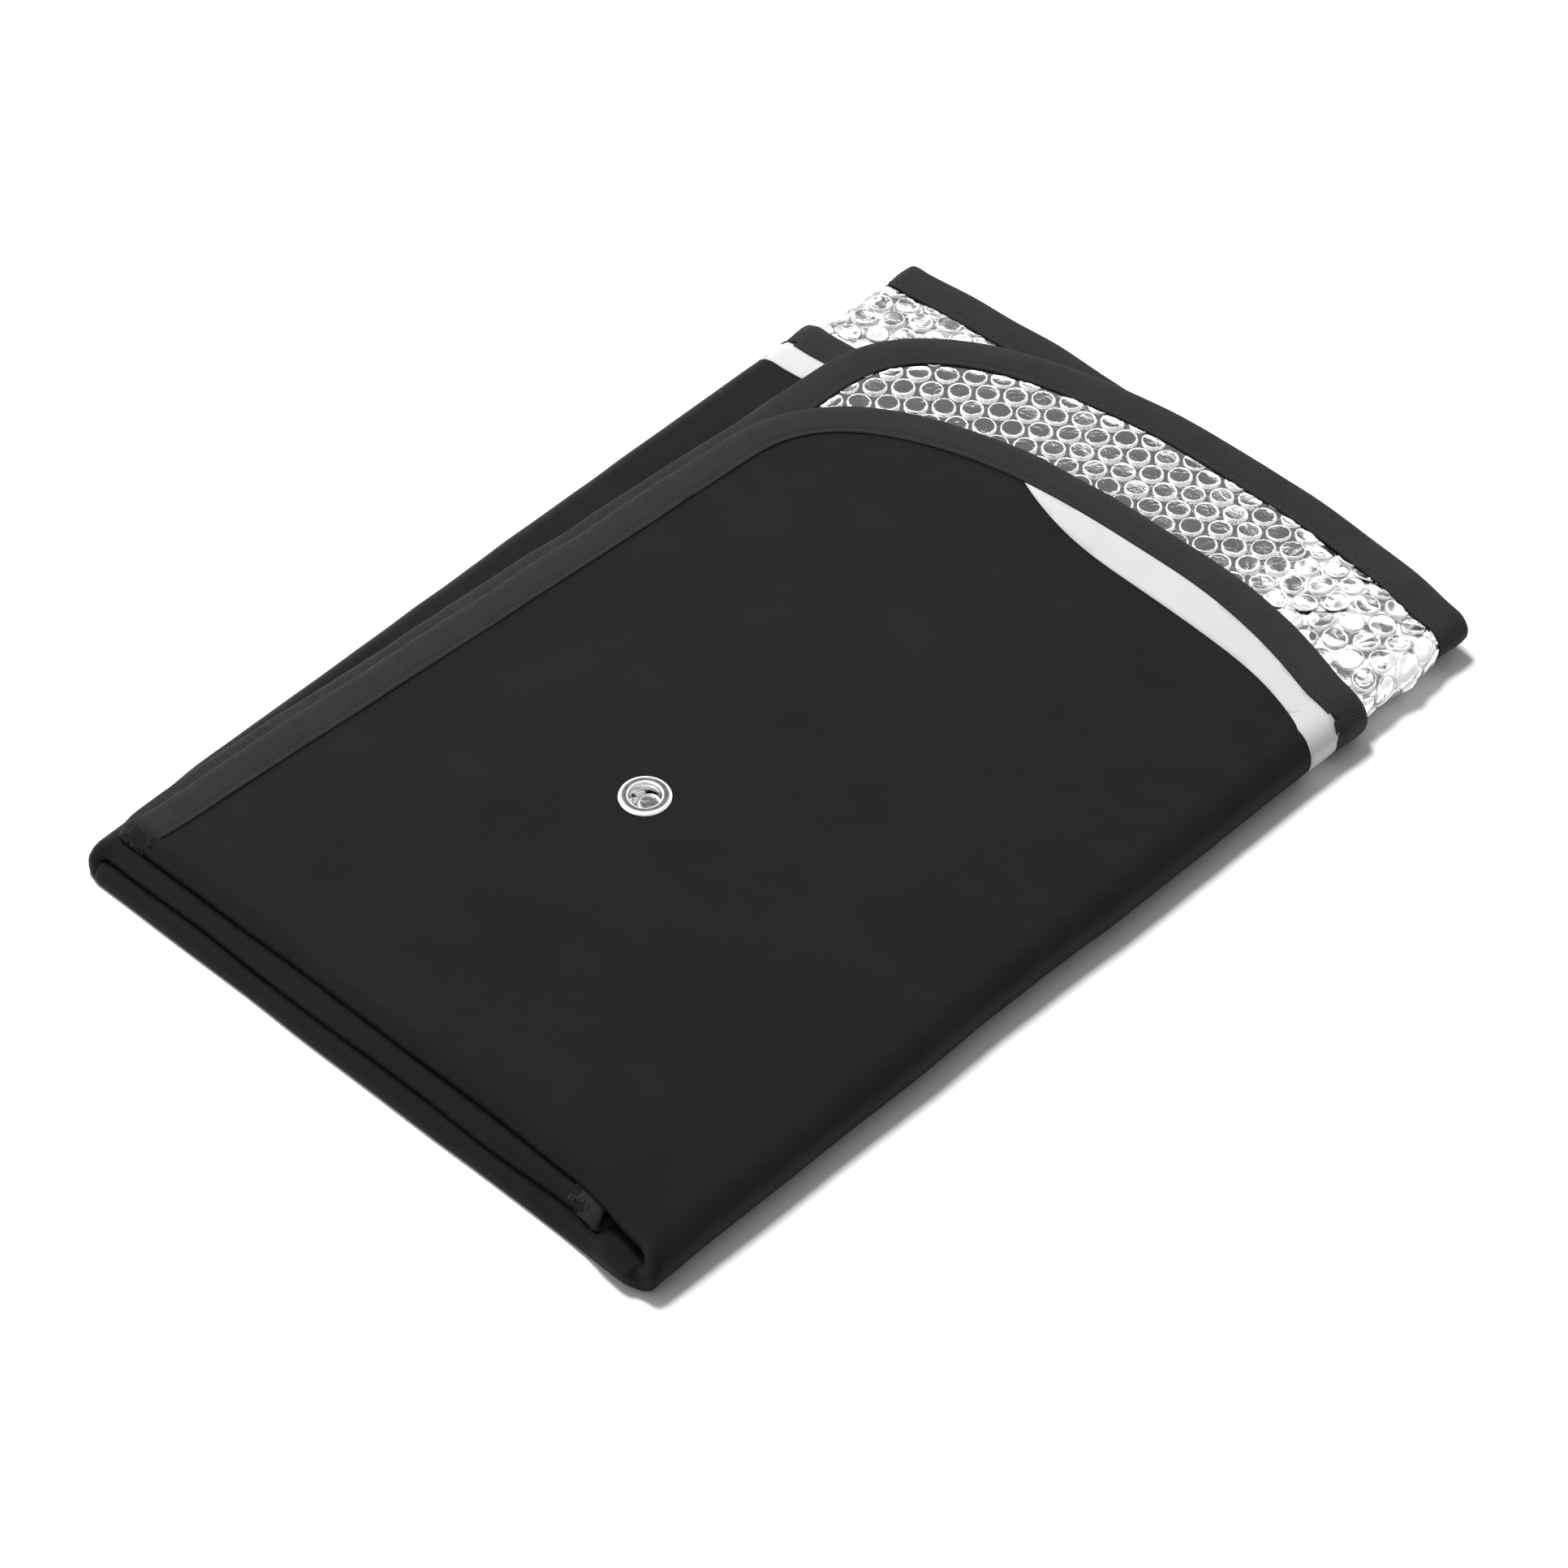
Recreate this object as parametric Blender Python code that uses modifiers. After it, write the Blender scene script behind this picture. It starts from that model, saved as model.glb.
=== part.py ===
"""Folded insulating mat: black fabric outside, bubble film inside, bound edges.

The mat is folded in half over the centre fold (the -Y edge) with its film inside, which makes a
leaf of two layers, and the leaf is then folded in three: the left flap first, the right flap on top.
Six layers lie on each other, numbered from the floor up. Metres, +Z up, the floor at z = 0.
"""

import math

import bmesh
import bpy
from mathutils import Vector

# Overall sizes of the folded packet
PACKET_WIDTH = 0.294
SHEET_LENGTH = 0.443  # centre fold to the crown of the inner sheet's end edge
OUTER_SHORT = 0.056  # how far short of it the outer sheet's end edge stops
FOLD_SET_BACK = 0.0065  # how far each leaf's centre fold lies behind the one below it

# Sheet and tape thicknesses
GAP = 0.0003
FABRIC = 0.0005
FILM = 0.0010
TAPE = 0.0004
BINDING_WIDTH = 0.015
STRIP_WIDTH_LEFT = 0.012  # what the end bindings leave bare of the reflective strip, at each side
STRIP_WIDTH_RIGHT = 0.014

# Free edges: how far each flap's edge stops short of the fold it lies against
EDGE_SLANT = 0.060  # the free edges lean inwards by this much for each metre of length
RIGHT_OUTER_SHORT = 0.011
RIGHT_INNER_SHORT = 0.004
LEFT_OUTER_SHORT = 0.035
LEFT_INNER_SHORT = 0.030
CORNER_LENGTH = 0.090  # where the rounded free corner starts, measured back from the crown
CORNER_POWER = 2.5  # 2 would be an ellipse
CROWN_FROM_FOLD = 0.088  # the end edge's furthest point, measured from a flap's side fold

# How far the end edges fall back from their crown at the side folds
OUTER_DROP_LEFT = 0.006
OUTER_DROP_RIGHT = 0.017
INNER_DROP_LEFT = 0.006
INNER_DROP_RIGHT = 0.014

# Eyelet in the right flap's outer layer
EYELET_X = -0.0100
EYELET_FROM_FOLD = 0.1535
EYELET_HOLE_RADIUS = 0.006
EYELET_FLANGE_RADIUS = 0.010
EYELET_FLANGE_HEIGHT = 0.0010
EYELET_WALL = 0.0004

STRIP_TIP_FROM_FOLD = 0.158  # where the right flap's strip runs out under the binding
STRIP_BEND = 0.012  # how far its edge bows from straight, inwards at the tip and outwards at the fold

ARC_STEPS = 10  # for each quarter turn
EDGE_STEPS = 26

LAYER = 2 * TAPE + FABRIC + FILM + 3 * GAP
PITCH = LAYER + GAP
STACK = 6 * PITCH - GAP
BASE_OUTER, BASE_INNER, LEFT_INNER, LEFT_OUTER, RIGHT_INNER, RIGHT_OUTER = range(6)
BIND_INSET = TAPE + GAP  # the sheets stop this far inside the binding's outer face

FRONT = -SHEET_LENGTH / 2
HINGE = Vector((PACKET_WIDTH / 2 + GAP / 2, 0, STACK / 2))

COLOURS = {
    "fabric": ((0.022, 0.022, 0.023), 0.62, 0.0),
    "film": ((0.80, 0.81, 0.82), 0.16, 1.0),
    "binding": ((0.018, 0.018, 0.019), 0.85, 0.0),
    "strip": ((0.72, 0.71, 0.72), 0.45, 0.0),
    "eyelet": ((0.86, 0.86, 0.86), 0.18, 1.0),
}


def clear_scene():
    for obj in list(bpy.data.objects):
        bpy.data.objects.remove(obj, do_unlink=True)


def make_material(name):
    colour, roughness, metallic = COLOURS[name]
    material = bpy.data.materials.new(name)
    material.use_nodes = True
    shader = material.node_tree.nodes["Principled BSDF"]
    shader.inputs["Base Color"].default_value = (*colour, 1)
    shader.inputs["Roughness"].default_value = roughness
    shader.inputs["Metallic"].default_value = metallic
    return material


# Heights inside the stack


def spans(layer):
    """The heights of a layer's tape legs, fabric and film. Odd layers lie with their fabric up."""
    low = layer * PITCH
    found = {}
    for name, thickness in (("leg", TAPE), ("fabric", FABRIC), ("film", FILM), ("far_leg", TAPE)):
        found[name] = (low, low + thickness)
        low += thickness + GAP
    if layer % 2:
        middle = layer * PITCH + LAYER / 2
        found = {name: (2 * middle - b, 2 * middle - a) for name, (a, b) in found.items()}
    return found


def turn_height(lower, upper):
    """The height of the axis that a sheet turns round on its way from one layer to another."""
    return (lower * PITCH + upper * PITCH + LAYER) / 2


def turn_radii(lower, upper, sheet):
    """The inner and outer radius of that turn."""
    centre = turn_height(lower, upper)
    ends = [centre - z for z in spans(lower)[sheet]]
    return min(ends), max(ends)


LEFT_TURN = turn_radii(BASE_OUTER, LEFT_OUTER, "leg")[1]
RIGHT_TURN = turn_radii(BASE_OUTER, RIGHT_OUTER, "leg")[1]
CENTRE_TURN = turn_radii(BASE_OUTER, BASE_INNER, "fabric")[1]
LEFT_X = -PACKET_WIDTH / 2 + LEFT_TURN
RIGHT_X = PACKET_WIDTH / 2 - RIGHT_TURN
PANEL_LEFT = LEFT_X + GAP / 2
PANEL_RIGHT = RIGHT_X - GAP / 2


def fold_y(leaf):
    """Where a leaf's flat panels start, behind its centre fold. Leaves count from the floor up."""
    return FRONT + CENTRE_TURN + leaf * FOLD_SET_BACK


# Outlines, seen from above


def end_drops(layer):
    """The end edge's crown, and how far it has fallen back at the left and the right side fold."""
    if layer in (BASE_OUTER, LEFT_OUTER, RIGHT_OUTER):
        return FRONT + SHEET_LENGTH - OUTER_SHORT, OUTER_DROP_LEFT, OUTER_DROP_RIGHT
    return FRONT + SHEET_LENGTH, INNER_DROP_LEFT, INNER_DROP_RIGHT


def side_end(layer, side):
    """How far a sheet reaches at a side fold: side is -1 for the left fold, 1 for the right."""
    crown, left, right = end_drops(layer)
    return crown - (left if side < 0 else right)


def base_end_edge(layer):
    """The end edge of a base layer, from the left side fold to the right one."""
    crown, left, right = end_drops(layer)
    points = []
    for step in range(EDGE_STEPS + 1):
        x = PANEL_LEFT + (PANEL_RIGHT - PANEL_LEFT) * step / EDGE_STEPS
        reach = x / (PANEL_LEFT if x < 0 else PANEL_RIGHT)
        points.append(Vector((x, crown - (left if x < 0 else right) * reach**2, 0)))
    return points


def flap_edge(layer):
    """A flap's free edge, from the centre fold round the free corner to its side fold."""
    side = -1 if layer in (LEFT_INNER, LEFT_OUTER) else 1
    short = {
        LEFT_INNER: LEFT_INNER_SHORT,
        LEFT_OUTER: LEFT_OUTER_SHORT,
        RIGHT_INNER: RIGHT_INNER_SHORT,
        RIGHT_OUTER: RIGHT_OUTER_SHORT,
    }[layer]
    crown = end_drops(layer)[0]
    start = fold_y(1 if side < 0 else 2) + GAP / 2
    corner_y = crown - CORNER_LENGTH
    fold_x = PANEL_RIGHT if side > 0 else PANEL_LEFT
    free_x = -side * (PACKET_WIDTH / 2 - short)
    corner_x = free_x + side * EDGE_SLANT * (corner_y - start)
    crown_x = fold_x - side * CROWN_FROM_FOLD
    points = [Vector((free_x, start, 0)), Vector(((free_x + corner_x) / 2, (start + corner_y) / 2, 0))]
    for step in range(EDGE_STEPS + 1):
        turn = math.pi / 2 * step / EDGE_STEPS
        along = abs(math.cos(turn)) ** (2 / CORNER_POWER)
        up = math.sin(turn) ** (2 / CORNER_POWER)
        points.append(Vector((crown_x + (corner_x - crown_x) * along, corner_y + CORNER_LENGTH * up, 0)))
    drop = crown - side_end(layer, side)
    for step in range(1, EDGE_STEPS // 2 + 1):
        share = step / (EDGE_STEPS // 2)
        points.append(Vector((crown_x + (fold_x - crown_x) * share, crown - drop * share**2, 0)))
    return points


def free_edge(layer):
    return base_end_edge(layer) if layer in (BASE_OUTER, BASE_INNER) else flap_edge(layer)


def inner_side(layer):
    """Which side of its free edge, followed from its start, the sheet lies on: 1 is the left hand."""
    return 1 if layer in (LEFT_INNER, LEFT_OUTER) else -1


def shifted(points, distance, hand):
    """The curve that runs parallel to these points, at a distance towards one hand."""
    moved = []
    for index, point in enumerate(points):
        before = points[max(index - 1, 0)]
        after = points[min(index + 1, len(points) - 1)]
        along = (after - before).normalized()
        moved.append(point + hand * distance * Vector((-along.y, along.x, 0)))
    # The ends stay on the lines where the neighbouring pieces start.
    for end, other in ((0, 1), (-1, -2)):
        slope = moved[end] - moved[other]
        if abs(slope.x) > abs(slope.y):
            share = (points[end].x - moved[other].x) / slope.x
        else:
            share = (points[end].y - moved[other].y) / slope.y
        moved[end] = moved[other] + slope * share
    return moved


def panel_outline(layer, inset):
    """A flat panel: its free edge moved in by the inset, closed along the folds."""
    edge = shifted(free_edge(layer), inset, inner_side(layer))
    if layer in (BASE_OUTER, BASE_INNER):
        start = fold_y(0) + GAP / 2
        return edge + [Vector((PANEL_RIGHT, start, 0)), Vector((PANEL_LEFT, start, 0))]
    return edge + [Vector((edge[-1].x, edge[0].y, 0))]


# Solids


def finish(name, mesh, material, hinge=None):
    obj = bpy.data.objects.new(name, mesh)
    parts.objects.link(obj)
    mesh.materials.append(materials[material])
    if hinge:
        obj.parent = hinge
        obj.matrix_parent_inverse = hinge.matrix_basis.inverted()
    return obj


def thicken(obj, thickness, offset):
    solidify = obj.modifiers.new("wall", "SOLIDIFY")
    solidify.thickness = thickness
    solidify.offset = offset
    solidify.use_even_offset = True
    return obj


def plate(name, outline, heights, material, hinge=None):
    """A flat sheet between two heights, from its outline."""
    bm = bmesh.new()
    face = bm.faces.new([bm.verts.new((point.x, point.y, heights[0])) for point in outline])
    face.normal_update()
    if face.normal.z < 0:
        face.normal_flip()
    mesh = bpy.data.meshes.new(name)
    bm.to_mesh(mesh)
    bm.free()
    return thicken(finish(name, mesh, material, hinge), heights[1] - heights[0], 1)


def swept(name, rows, thickness, material, hinge=None):
    """An open surface through rows of points, given a wall on the side away from its normals."""
    bm = bmesh.new()
    grid = [[bm.verts.new(point) for point in row] for row in rows]
    for first, second in zip(grid, grid[1:]):
        for column in range(len(first) - 1):
            bm.faces.new((first[column], second[column], second[column + 1], first[column + 1]))
    mesh = bpy.data.meshes.new(name)
    bm.to_mesh(mesh)
    bm.free()
    return thicken(finish(name, mesh, material, hinge), thickness, -1)


def turn_rows(profile, centre, along_x, start, end):
    """Rows of a turned surface. The profile's points are (radius, place along the fold); angles
    count from straight up, towards the outside of the fold."""
    steps = max(2, round(ARC_STEPS * abs(end - start) / 90))
    rows = []
    for step in range(steps + 1):
        angle = math.radians(start + (end - start) * step / steps)
        row = []
        for radius, along in profile:
            out = radius * math.sin(angle)
            up = radius * math.cos(angle)
            if along_x:
                row.append(Vector((along, centre.y + out, centre.z + up)))
            else:
                row.append(Vector((centre.x + out, along, centre.z + up)))
        rows.append(row)
    return rows


def turned(name, profile, centre, along_x, start, end, thickness, material, hinge=None):
    rows = turn_rows(profile, centre, along_x, start, end)
    middle = rows[len(rows) // 2]
    normal = (middle[1] - middle[0]).cross(rows[len(rows) // 2 + 1][0] - middle[0])
    outward = middle[0] - centre
    outward[0 if along_x else 1] = 0
    if normal.dot(outward) > 0:
        rows = rows[::-1]
    return swept(name, rows, thickness, material, hinge)


def binding_channel(name, layer, hinge=None):
    """Tape folded over a free edge: a channel that the sheets' edges lie in."""
    hand = inner_side(layer)
    edge = free_edge(layer)
    inside = shifted(edge, BINDING_WIDTH, hand)
    low, high = layer * PITCH, layer * PITCH + LAYER
    rows = []
    for outer, inner in zip(edge, inside):
        row = [(inner, low), (outer, low), (outer, high), (inner, high)]
        rows.append([Vector((point.x, point.y, height)) for point, height in row])
    if hand < 0:
        rows = rows[::-1]
    swept(name, rows, TAPE, "binding", hinge)


def strip_outline(layer):
    """The reflective strip on an outer panel, from the end binding's inner edge to its own edge."""
    hand = inner_side(layer)
    upper = shifted(free_edge(layer), BINDING_WIDTH + GAP, hand)
    if layer == BASE_OUTER:
        left = shifted(upper, STRIP_WIDTH_LEFT, hand)
        right = shifted(upper, STRIP_WIDTH_RIGHT, hand)
        lower = [a.lerp(b, i / (len(upper) - 1)) for i, (a, b) in enumerate(zip(left, right))]
        return upper + lower[::-1]
    if layer == LEFT_OUTER:
        lower = shifted(upper, STRIP_WIDTH_LEFT, hand)
        shown = [i for i, point in enumerate(upper) if point.x < LEFT_X + CROWN_FROM_FOLD and point.y > 0]
        return [upper[i] for i in shown] + [lower[i] for i in reversed(shown)]
    # The strip runs straight, so the round corner's binding closes over it towards a tip.
    tip_x = RIGHT_X - STRIP_TIP_FROM_FOLD
    upper = [point for point in upper if point.x > tip_x and point.y > 0]
    tip, end = upper[0], upper[-1] - Vector((0, STRIP_WIDTH_RIGHT, 0))
    lower = []
    for step in range(1, EDGE_STEPS + 1):
        share = step / EDGE_STEPS
        bend = STRIP_BEND * (1 - (2 * share - 1) ** 2) * (1 - 2 * share)
        lower.append(tip.lerp(end, share) - Vector((0, bend, 0)))
    return upper + lower[::-1]


# The object


def make_leaf(leaf, title, inner, outer, hinge=None):
    """Two panels joined at the centre fold, with their binding and the strip on the outer one."""
    for layer, face in ((outer, "outer"), (inner, "inner")):
        outline = panel_outline(layer, BIND_INSET)
        for sheet in ("fabric", "film"):
            plate(f"{title}_{face}_{sheet}", outline, spans(layer)[sheet], sheet, hinge)
        binding_channel(f"{title}_{face}_binding", layer, hinge)
    heights = spans(outer)["leg"]
    plate(f"{title}_reflective_strip", strip_outline(outer), heights, "strip", hinge)
    make_centre_fold(leaf, title, min(inner, outer), hinge)


def make_centre_fold(leaf, title, lower, hinge):
    centre = Vector((0, fold_y(leaf), turn_height(lower, lower + 1)))
    left, right = LEFT_X, RIGHT_X
    if leaf:
        edge = flap_edge(lower if leaf == 1 else lower + 1)[0].x
        left, right = (left, edge - BIND_INSET) if leaf == 1 else (edge + BIND_INSET, right)
    for sheet in ("fabric", "film"):
        inside, outside = turn_radii(lower, lower + 1, sheet)
        profile = [(outside, left + GAP / 2), (outside, right - GAP / 2)]
        name = f"{title}_centre_fold_{sheet}"
        turned(name, profile, centre, True, 0, -180, outside - inside, sheet, hinge)
    if leaf:
        outside = turn_radii(lower, lower + 1, "leg")[1]
        ends = (right - BINDING_WIDTH, right) if leaf == 1 else (left, left + BINDING_WIDTH)
        profile = [(outside, end) for end in ends]
        name = f"{title}_centre_fold_binding"
        turned(name, profile, centre, True, 0, -180, TAPE, "binding", hinge)


def make_side_fold(title, side, leaf, pairs, start, end, hinge=None):
    """The sheets' turn from the base up to a flap, between two angles."""
    centre = Vector((RIGHT_X if side > 0 else LEFT_X, 0, turn_height(*pairs["outer"])))
    front = fold_y(leaf) + GAP / 2
    for face, (lower, upper) in pairs.items():
        back = side_end(lower, side)
        for sheet in ("fabric", "film"):
            inside, outside = turn_radii(lower, upper, sheet)
            profile = [(outside, front), (outside, back - BIND_INSET)]
            name = f"{title}_{face}_{sheet}"
            turned(name, profile, centre, False, start, end, outside - inside, sheet, hinge)
        radii = [radius for leg in ("leg", "far_leg") for radius in turn_radii(lower, upper, leg)]
        near = back - BINDING_WIDTH
        profile = [(max(radii), near), (max(radii), back), (min(radii), back), (min(radii), near)]
        turned(f"{title}_{face}_binding", profile, centre, False, start, end, TAPE, "binding", hinge)
    near = side_end(pairs["outer"][0], side) - BINDING_WIDTH - GAP
    outside = turn_radii(*pairs["outer"], "leg")[1]
    profile = [(outside, near - (STRIP_WIDTH_LEFT if side < 0 else STRIP_WIDTH_RIGHT)), (outside, near)]
    turned(f"{title}_reflective_strip", profile, centre, False, start, end, TAPE, "strip", hinge)


def ring(name, profile, location, material, hinge):
    """A turned piece: its profile's points are (radius, height), down its outer side first."""
    bm = bmesh.new()
    verts = [bm.verts.new((radius, 0, height)) for radius, height in profile]
    for first, second in zip(verts, verts[1:] + verts[:1]):
        bm.edges.new((first, second))
    mesh = bpy.data.meshes.new(name)
    bm.to_mesh(mesh)
    bm.free()
    obj = finish(name, mesh, material, hinge)
    obj.location = location
    screw = obj.modifiers.new("turn", "SCREW")
    screw.steps = screw.render_steps = 48
    screw.use_merge_vertices = True
    screw.merge_threshold = 0.00001
    return obj


def make_eyelet(hinge):
    centre = Vector((EYELET_X, FRONT + EYELET_FROM_FOLD, 0))
    layer = spans(RIGHT_OUTER)
    hole = EYELET_HOLE_RADIUS
    barrel = hole + EYELET_WALL
    seat = layer["fabric"][1] + GAP
    top = seat + EYELET_FLANGE_HEIGHT
    bottom = layer["far_leg"][0]
    flange = EYELET_FLANGE_RADIUS
    middle = (hole + flange) / 2
    grommet = [
        (flange, seat + EYELET_FLANGE_HEIGHT * 0.3),
        (flange, seat),
        (barrel, seat),
        (barrel, bottom),
        (hole, bottom),
        (hole, seat + EYELET_FLANGE_HEIGHT * 0.5),
        (hole + (middle - hole) * 0.4, seat + EYELET_FLANGE_HEIGHT * 0.9),
        (middle, top),
        (middle + (flange - middle) * 0.6, seat + EYELET_FLANGE_HEIGHT * 0.85),
    ]
    ring("eyelet_grommet", grommet, centre, "eyelet", hinge)
    washer_top = layer["far_leg"][1]
    washer = [(flange, washer_top), (flange, bottom), (barrel + GAP, bottom), (barrel + GAP, washer_top)]
    ring("eyelet_washer", washer, centre, "eyelet", hinge)
    bpy.ops.mesh.primitive_cylinder_add(
        vertices=48, radius=barrel + GAP, depth=4 * LAYER, location=(centre.x, centre.y, seat)
    )
    cutter = bpy.context.object
    cutter.name = "eyelet_cutter"
    cutter.hide_render = True
    cutter.display_type = "WIRE"
    for owner in cutter.users_collection:
        owner.objects.unlink(cutter)
    cutters.objects.link(cutter)
    for sheet in ("fabric", "film"):
        cut = bpy.data.objects[f"right_flap_outer_{sheet}"].modifiers.new("eyelet", "BOOLEAN")
        cut.operation = "DIFFERENCE"
        cut.object = cutter


clear_scene()
materials = {name: make_material(name) for name in COLOURS}
parts = bpy.data.collections.new("folded_insulating_mat")
cutters = bpy.data.collections.new("cutters")
for collection in (parts, cutters):
    bpy.context.scene.collection.children.link(collection)

flap_hinge = bpy.data.objects.new("right_flap_hinge", None)
flap_hinge.location = HINGE
parts.objects.link(flap_hinge)

make_leaf(0, "base", BASE_INNER, BASE_OUTER)
make_leaf(1, "left_flap", LEFT_INNER, LEFT_OUTER)
make_leaf(2, "right_flap", RIGHT_INNER, RIGHT_OUTER, flap_hinge)

left_pairs = {"outer": (BASE_OUTER, LEFT_OUTER), "inner": (BASE_INNER, LEFT_INNER)}
right_pairs = {"outer": (BASE_OUTER, RIGHT_OUTER), "inner": (BASE_INNER, RIGHT_INNER)}
# The right fold is halved at the hinge, with half a gap on each side of it.
HALF_GAP_ANGLE = math.degrees(GAP / 2 / turn_radii(*right_pairs["inner"], "far_leg")[0])
make_side_fold("left_fold", -1, 1, left_pairs, 0, -180)
make_side_fold("right_fold_lower", 1, 2, right_pairs, 90 + HALF_GAP_ANGLE, 180)
make_side_fold("right_fold_upper", 1, 2, right_pairs, 0, 90 - HALF_GAP_ANGLE, flap_hinge)
make_eyelet(flap_hinge)
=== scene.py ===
import math

import bmesh
import bpy
import numpy as np
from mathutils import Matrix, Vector
from mathutils.geometry import delaunay_2d_cdt


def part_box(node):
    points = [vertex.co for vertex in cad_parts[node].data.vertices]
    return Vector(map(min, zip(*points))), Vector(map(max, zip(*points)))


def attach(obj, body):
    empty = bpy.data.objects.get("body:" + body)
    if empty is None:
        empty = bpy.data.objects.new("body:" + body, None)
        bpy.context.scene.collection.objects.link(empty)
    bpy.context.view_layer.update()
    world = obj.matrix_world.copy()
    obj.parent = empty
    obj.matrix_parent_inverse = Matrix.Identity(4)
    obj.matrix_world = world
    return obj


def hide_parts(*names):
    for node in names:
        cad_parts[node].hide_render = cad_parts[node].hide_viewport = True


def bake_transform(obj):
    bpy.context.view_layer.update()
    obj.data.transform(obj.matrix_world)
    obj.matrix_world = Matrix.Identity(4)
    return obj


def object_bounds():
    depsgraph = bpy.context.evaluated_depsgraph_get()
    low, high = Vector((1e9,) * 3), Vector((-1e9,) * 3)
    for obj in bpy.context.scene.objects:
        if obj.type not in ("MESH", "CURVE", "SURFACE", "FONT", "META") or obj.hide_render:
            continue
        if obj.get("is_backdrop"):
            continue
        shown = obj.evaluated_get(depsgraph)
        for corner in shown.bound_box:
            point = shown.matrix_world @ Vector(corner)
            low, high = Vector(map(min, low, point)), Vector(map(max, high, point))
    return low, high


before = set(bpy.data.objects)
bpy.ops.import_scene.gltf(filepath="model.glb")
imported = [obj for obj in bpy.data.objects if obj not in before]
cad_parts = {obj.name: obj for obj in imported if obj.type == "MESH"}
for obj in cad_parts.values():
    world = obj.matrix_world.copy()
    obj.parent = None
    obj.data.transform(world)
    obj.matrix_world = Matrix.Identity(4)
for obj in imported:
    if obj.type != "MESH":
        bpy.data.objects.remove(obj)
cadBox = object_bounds()
print("frame loaded,", len(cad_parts), "nodes")

# The mat is modelled flat, as it is cut: s runs across it, v along it from the centre fold (outer half
# negative, inner half positive) and k is the height off the middle of the sheet, with the fabric up.
# foldMat then folds every piece in half over the centre fold and in three over the side folds. Metres.

folding = {
    "width": cadBox[1][0] - cadBox[0][0],
    "frontY": cadBox[0][1],
    "sheetLength": cadBox[1][1] - cadBox[0][1],
    "outerShort": 0.056,  # the outer half stops this far short of the inner one
    "layer": 0.0032,  # one layer with its binding
    "pitch": 0.0035,
    "setBack": 0.0065,  # how far each leaf's centre fold lies behind the one below
    "leftBulge": -0.0012,  # how far the packet's sides bow out of line
    "rightBulge": 0.003,
    "endDroop": 0.0018,  # the inner halves hang down past the outer ones
    "puff": 0.0007,  # the centre folds stand fuller than the rest of their leaves
    "cornerClose": 0.0033,  # the sheets lean together in the front right corner
    "cornerDrop": 0.15,  # share of the height lost at that corner
    "sag": 0.0021,  # how far a folded edge sags below its leaf's middle
    "lowest": 0.0008,  # points lower than this are pressed together above the floor
    "foldMargin": 0.006,  # the side fold's own pieces reach this far past its arc
    "cornerForward": 0.0095,  # how far the front right corner's top is drawn forward
    "pleat": 0.00042,
    "frontLeftIn": 0.0030,
    "openEndSlant": 0.030,
}
halfLeaf = folding["pitch"] / 2
leafZ = [0.007 * leaf + (folding["pitch"] + folding["layer"]) / 2 for leaf in range(3)]
stackTop = 5 * folding["pitch"] + folding["layer"]
leftRadius = (leafZ[1] - leafZ[0]) / 2
rightRadius = (leafZ[2] - leafZ[0]) / 2
leftX = -folding["width"] / 2 + leftRadius + halfLeaf + folding["layer"] / 2
rightX = folding["width"] / 2 - rightRadius - halfLeaf - folding["layer"] / 2
leftArc = math.pi * leftRadius
rightArc = math.pi * rightRadius
turnLength = math.pi / 2 * halfLeaf  # half the centre fold's turn
outerEndY = folding["frontY"] + folding["sheetLength"] - folding["outerShort"]
innerEndY = folding["frontY"] + folding["sheetLength"]
sideSeam = leftX  # where the mat's left part, in one piece, meets the rest


def smooth(value):
    value = np.clip(value, 0, 1)
    return value * value * (3 - 2 * value)


def softNoise(x, y, size, seed):
    # smooth value noise from 0 to 1
    table = np.random.default_rng(seed).random((64, 64))
    x, y = np.asarray(x) / size + 31.7, np.asarray(y) / size + 17.3
    column, row = np.floor(x).astype(int), np.floor(y).astype(int)
    fx, fy = smooth(x - column), smooth(y - row)
    corner = lambda a, b: table[(column + a) % 64, (row + b) % 64]
    low = corner(0, 0) * (1 - fx) + corner(1, 0) * fx
    high = corner(0, 1) * (1 - fx) + corner(1, 1) * fx
    return low * (1 - fy) + high * fy


def ridgeNoise(x, y, size, seed):
    # sharp crests on a smooth ground, as in crushed foil
    bent = x + 0.6 * size * (softNoise(x, y, size * 1.7, seed + 1) - 0.5)
    return 1 - np.abs(2 * softNoise(bent, y, size, seed) - 1)


def leafFront(s):
    # where each leaf's centre fold starts, going smoothly from leaf to leaf round the side folds
    base = folding["frontY"] + halfLeaf + 0.0009
    right = smooth((s - rightX + 0.004) / (rightArc + 0.008)) * 2
    left = smooth((leftX + 0.003 - s) / (leftArc + 0.006))
    return base + folding["setBack"] * (right + left) + 0.0011 * (softNoise(s, 0 * s, 0.045, 5) - 0.5)


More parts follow.
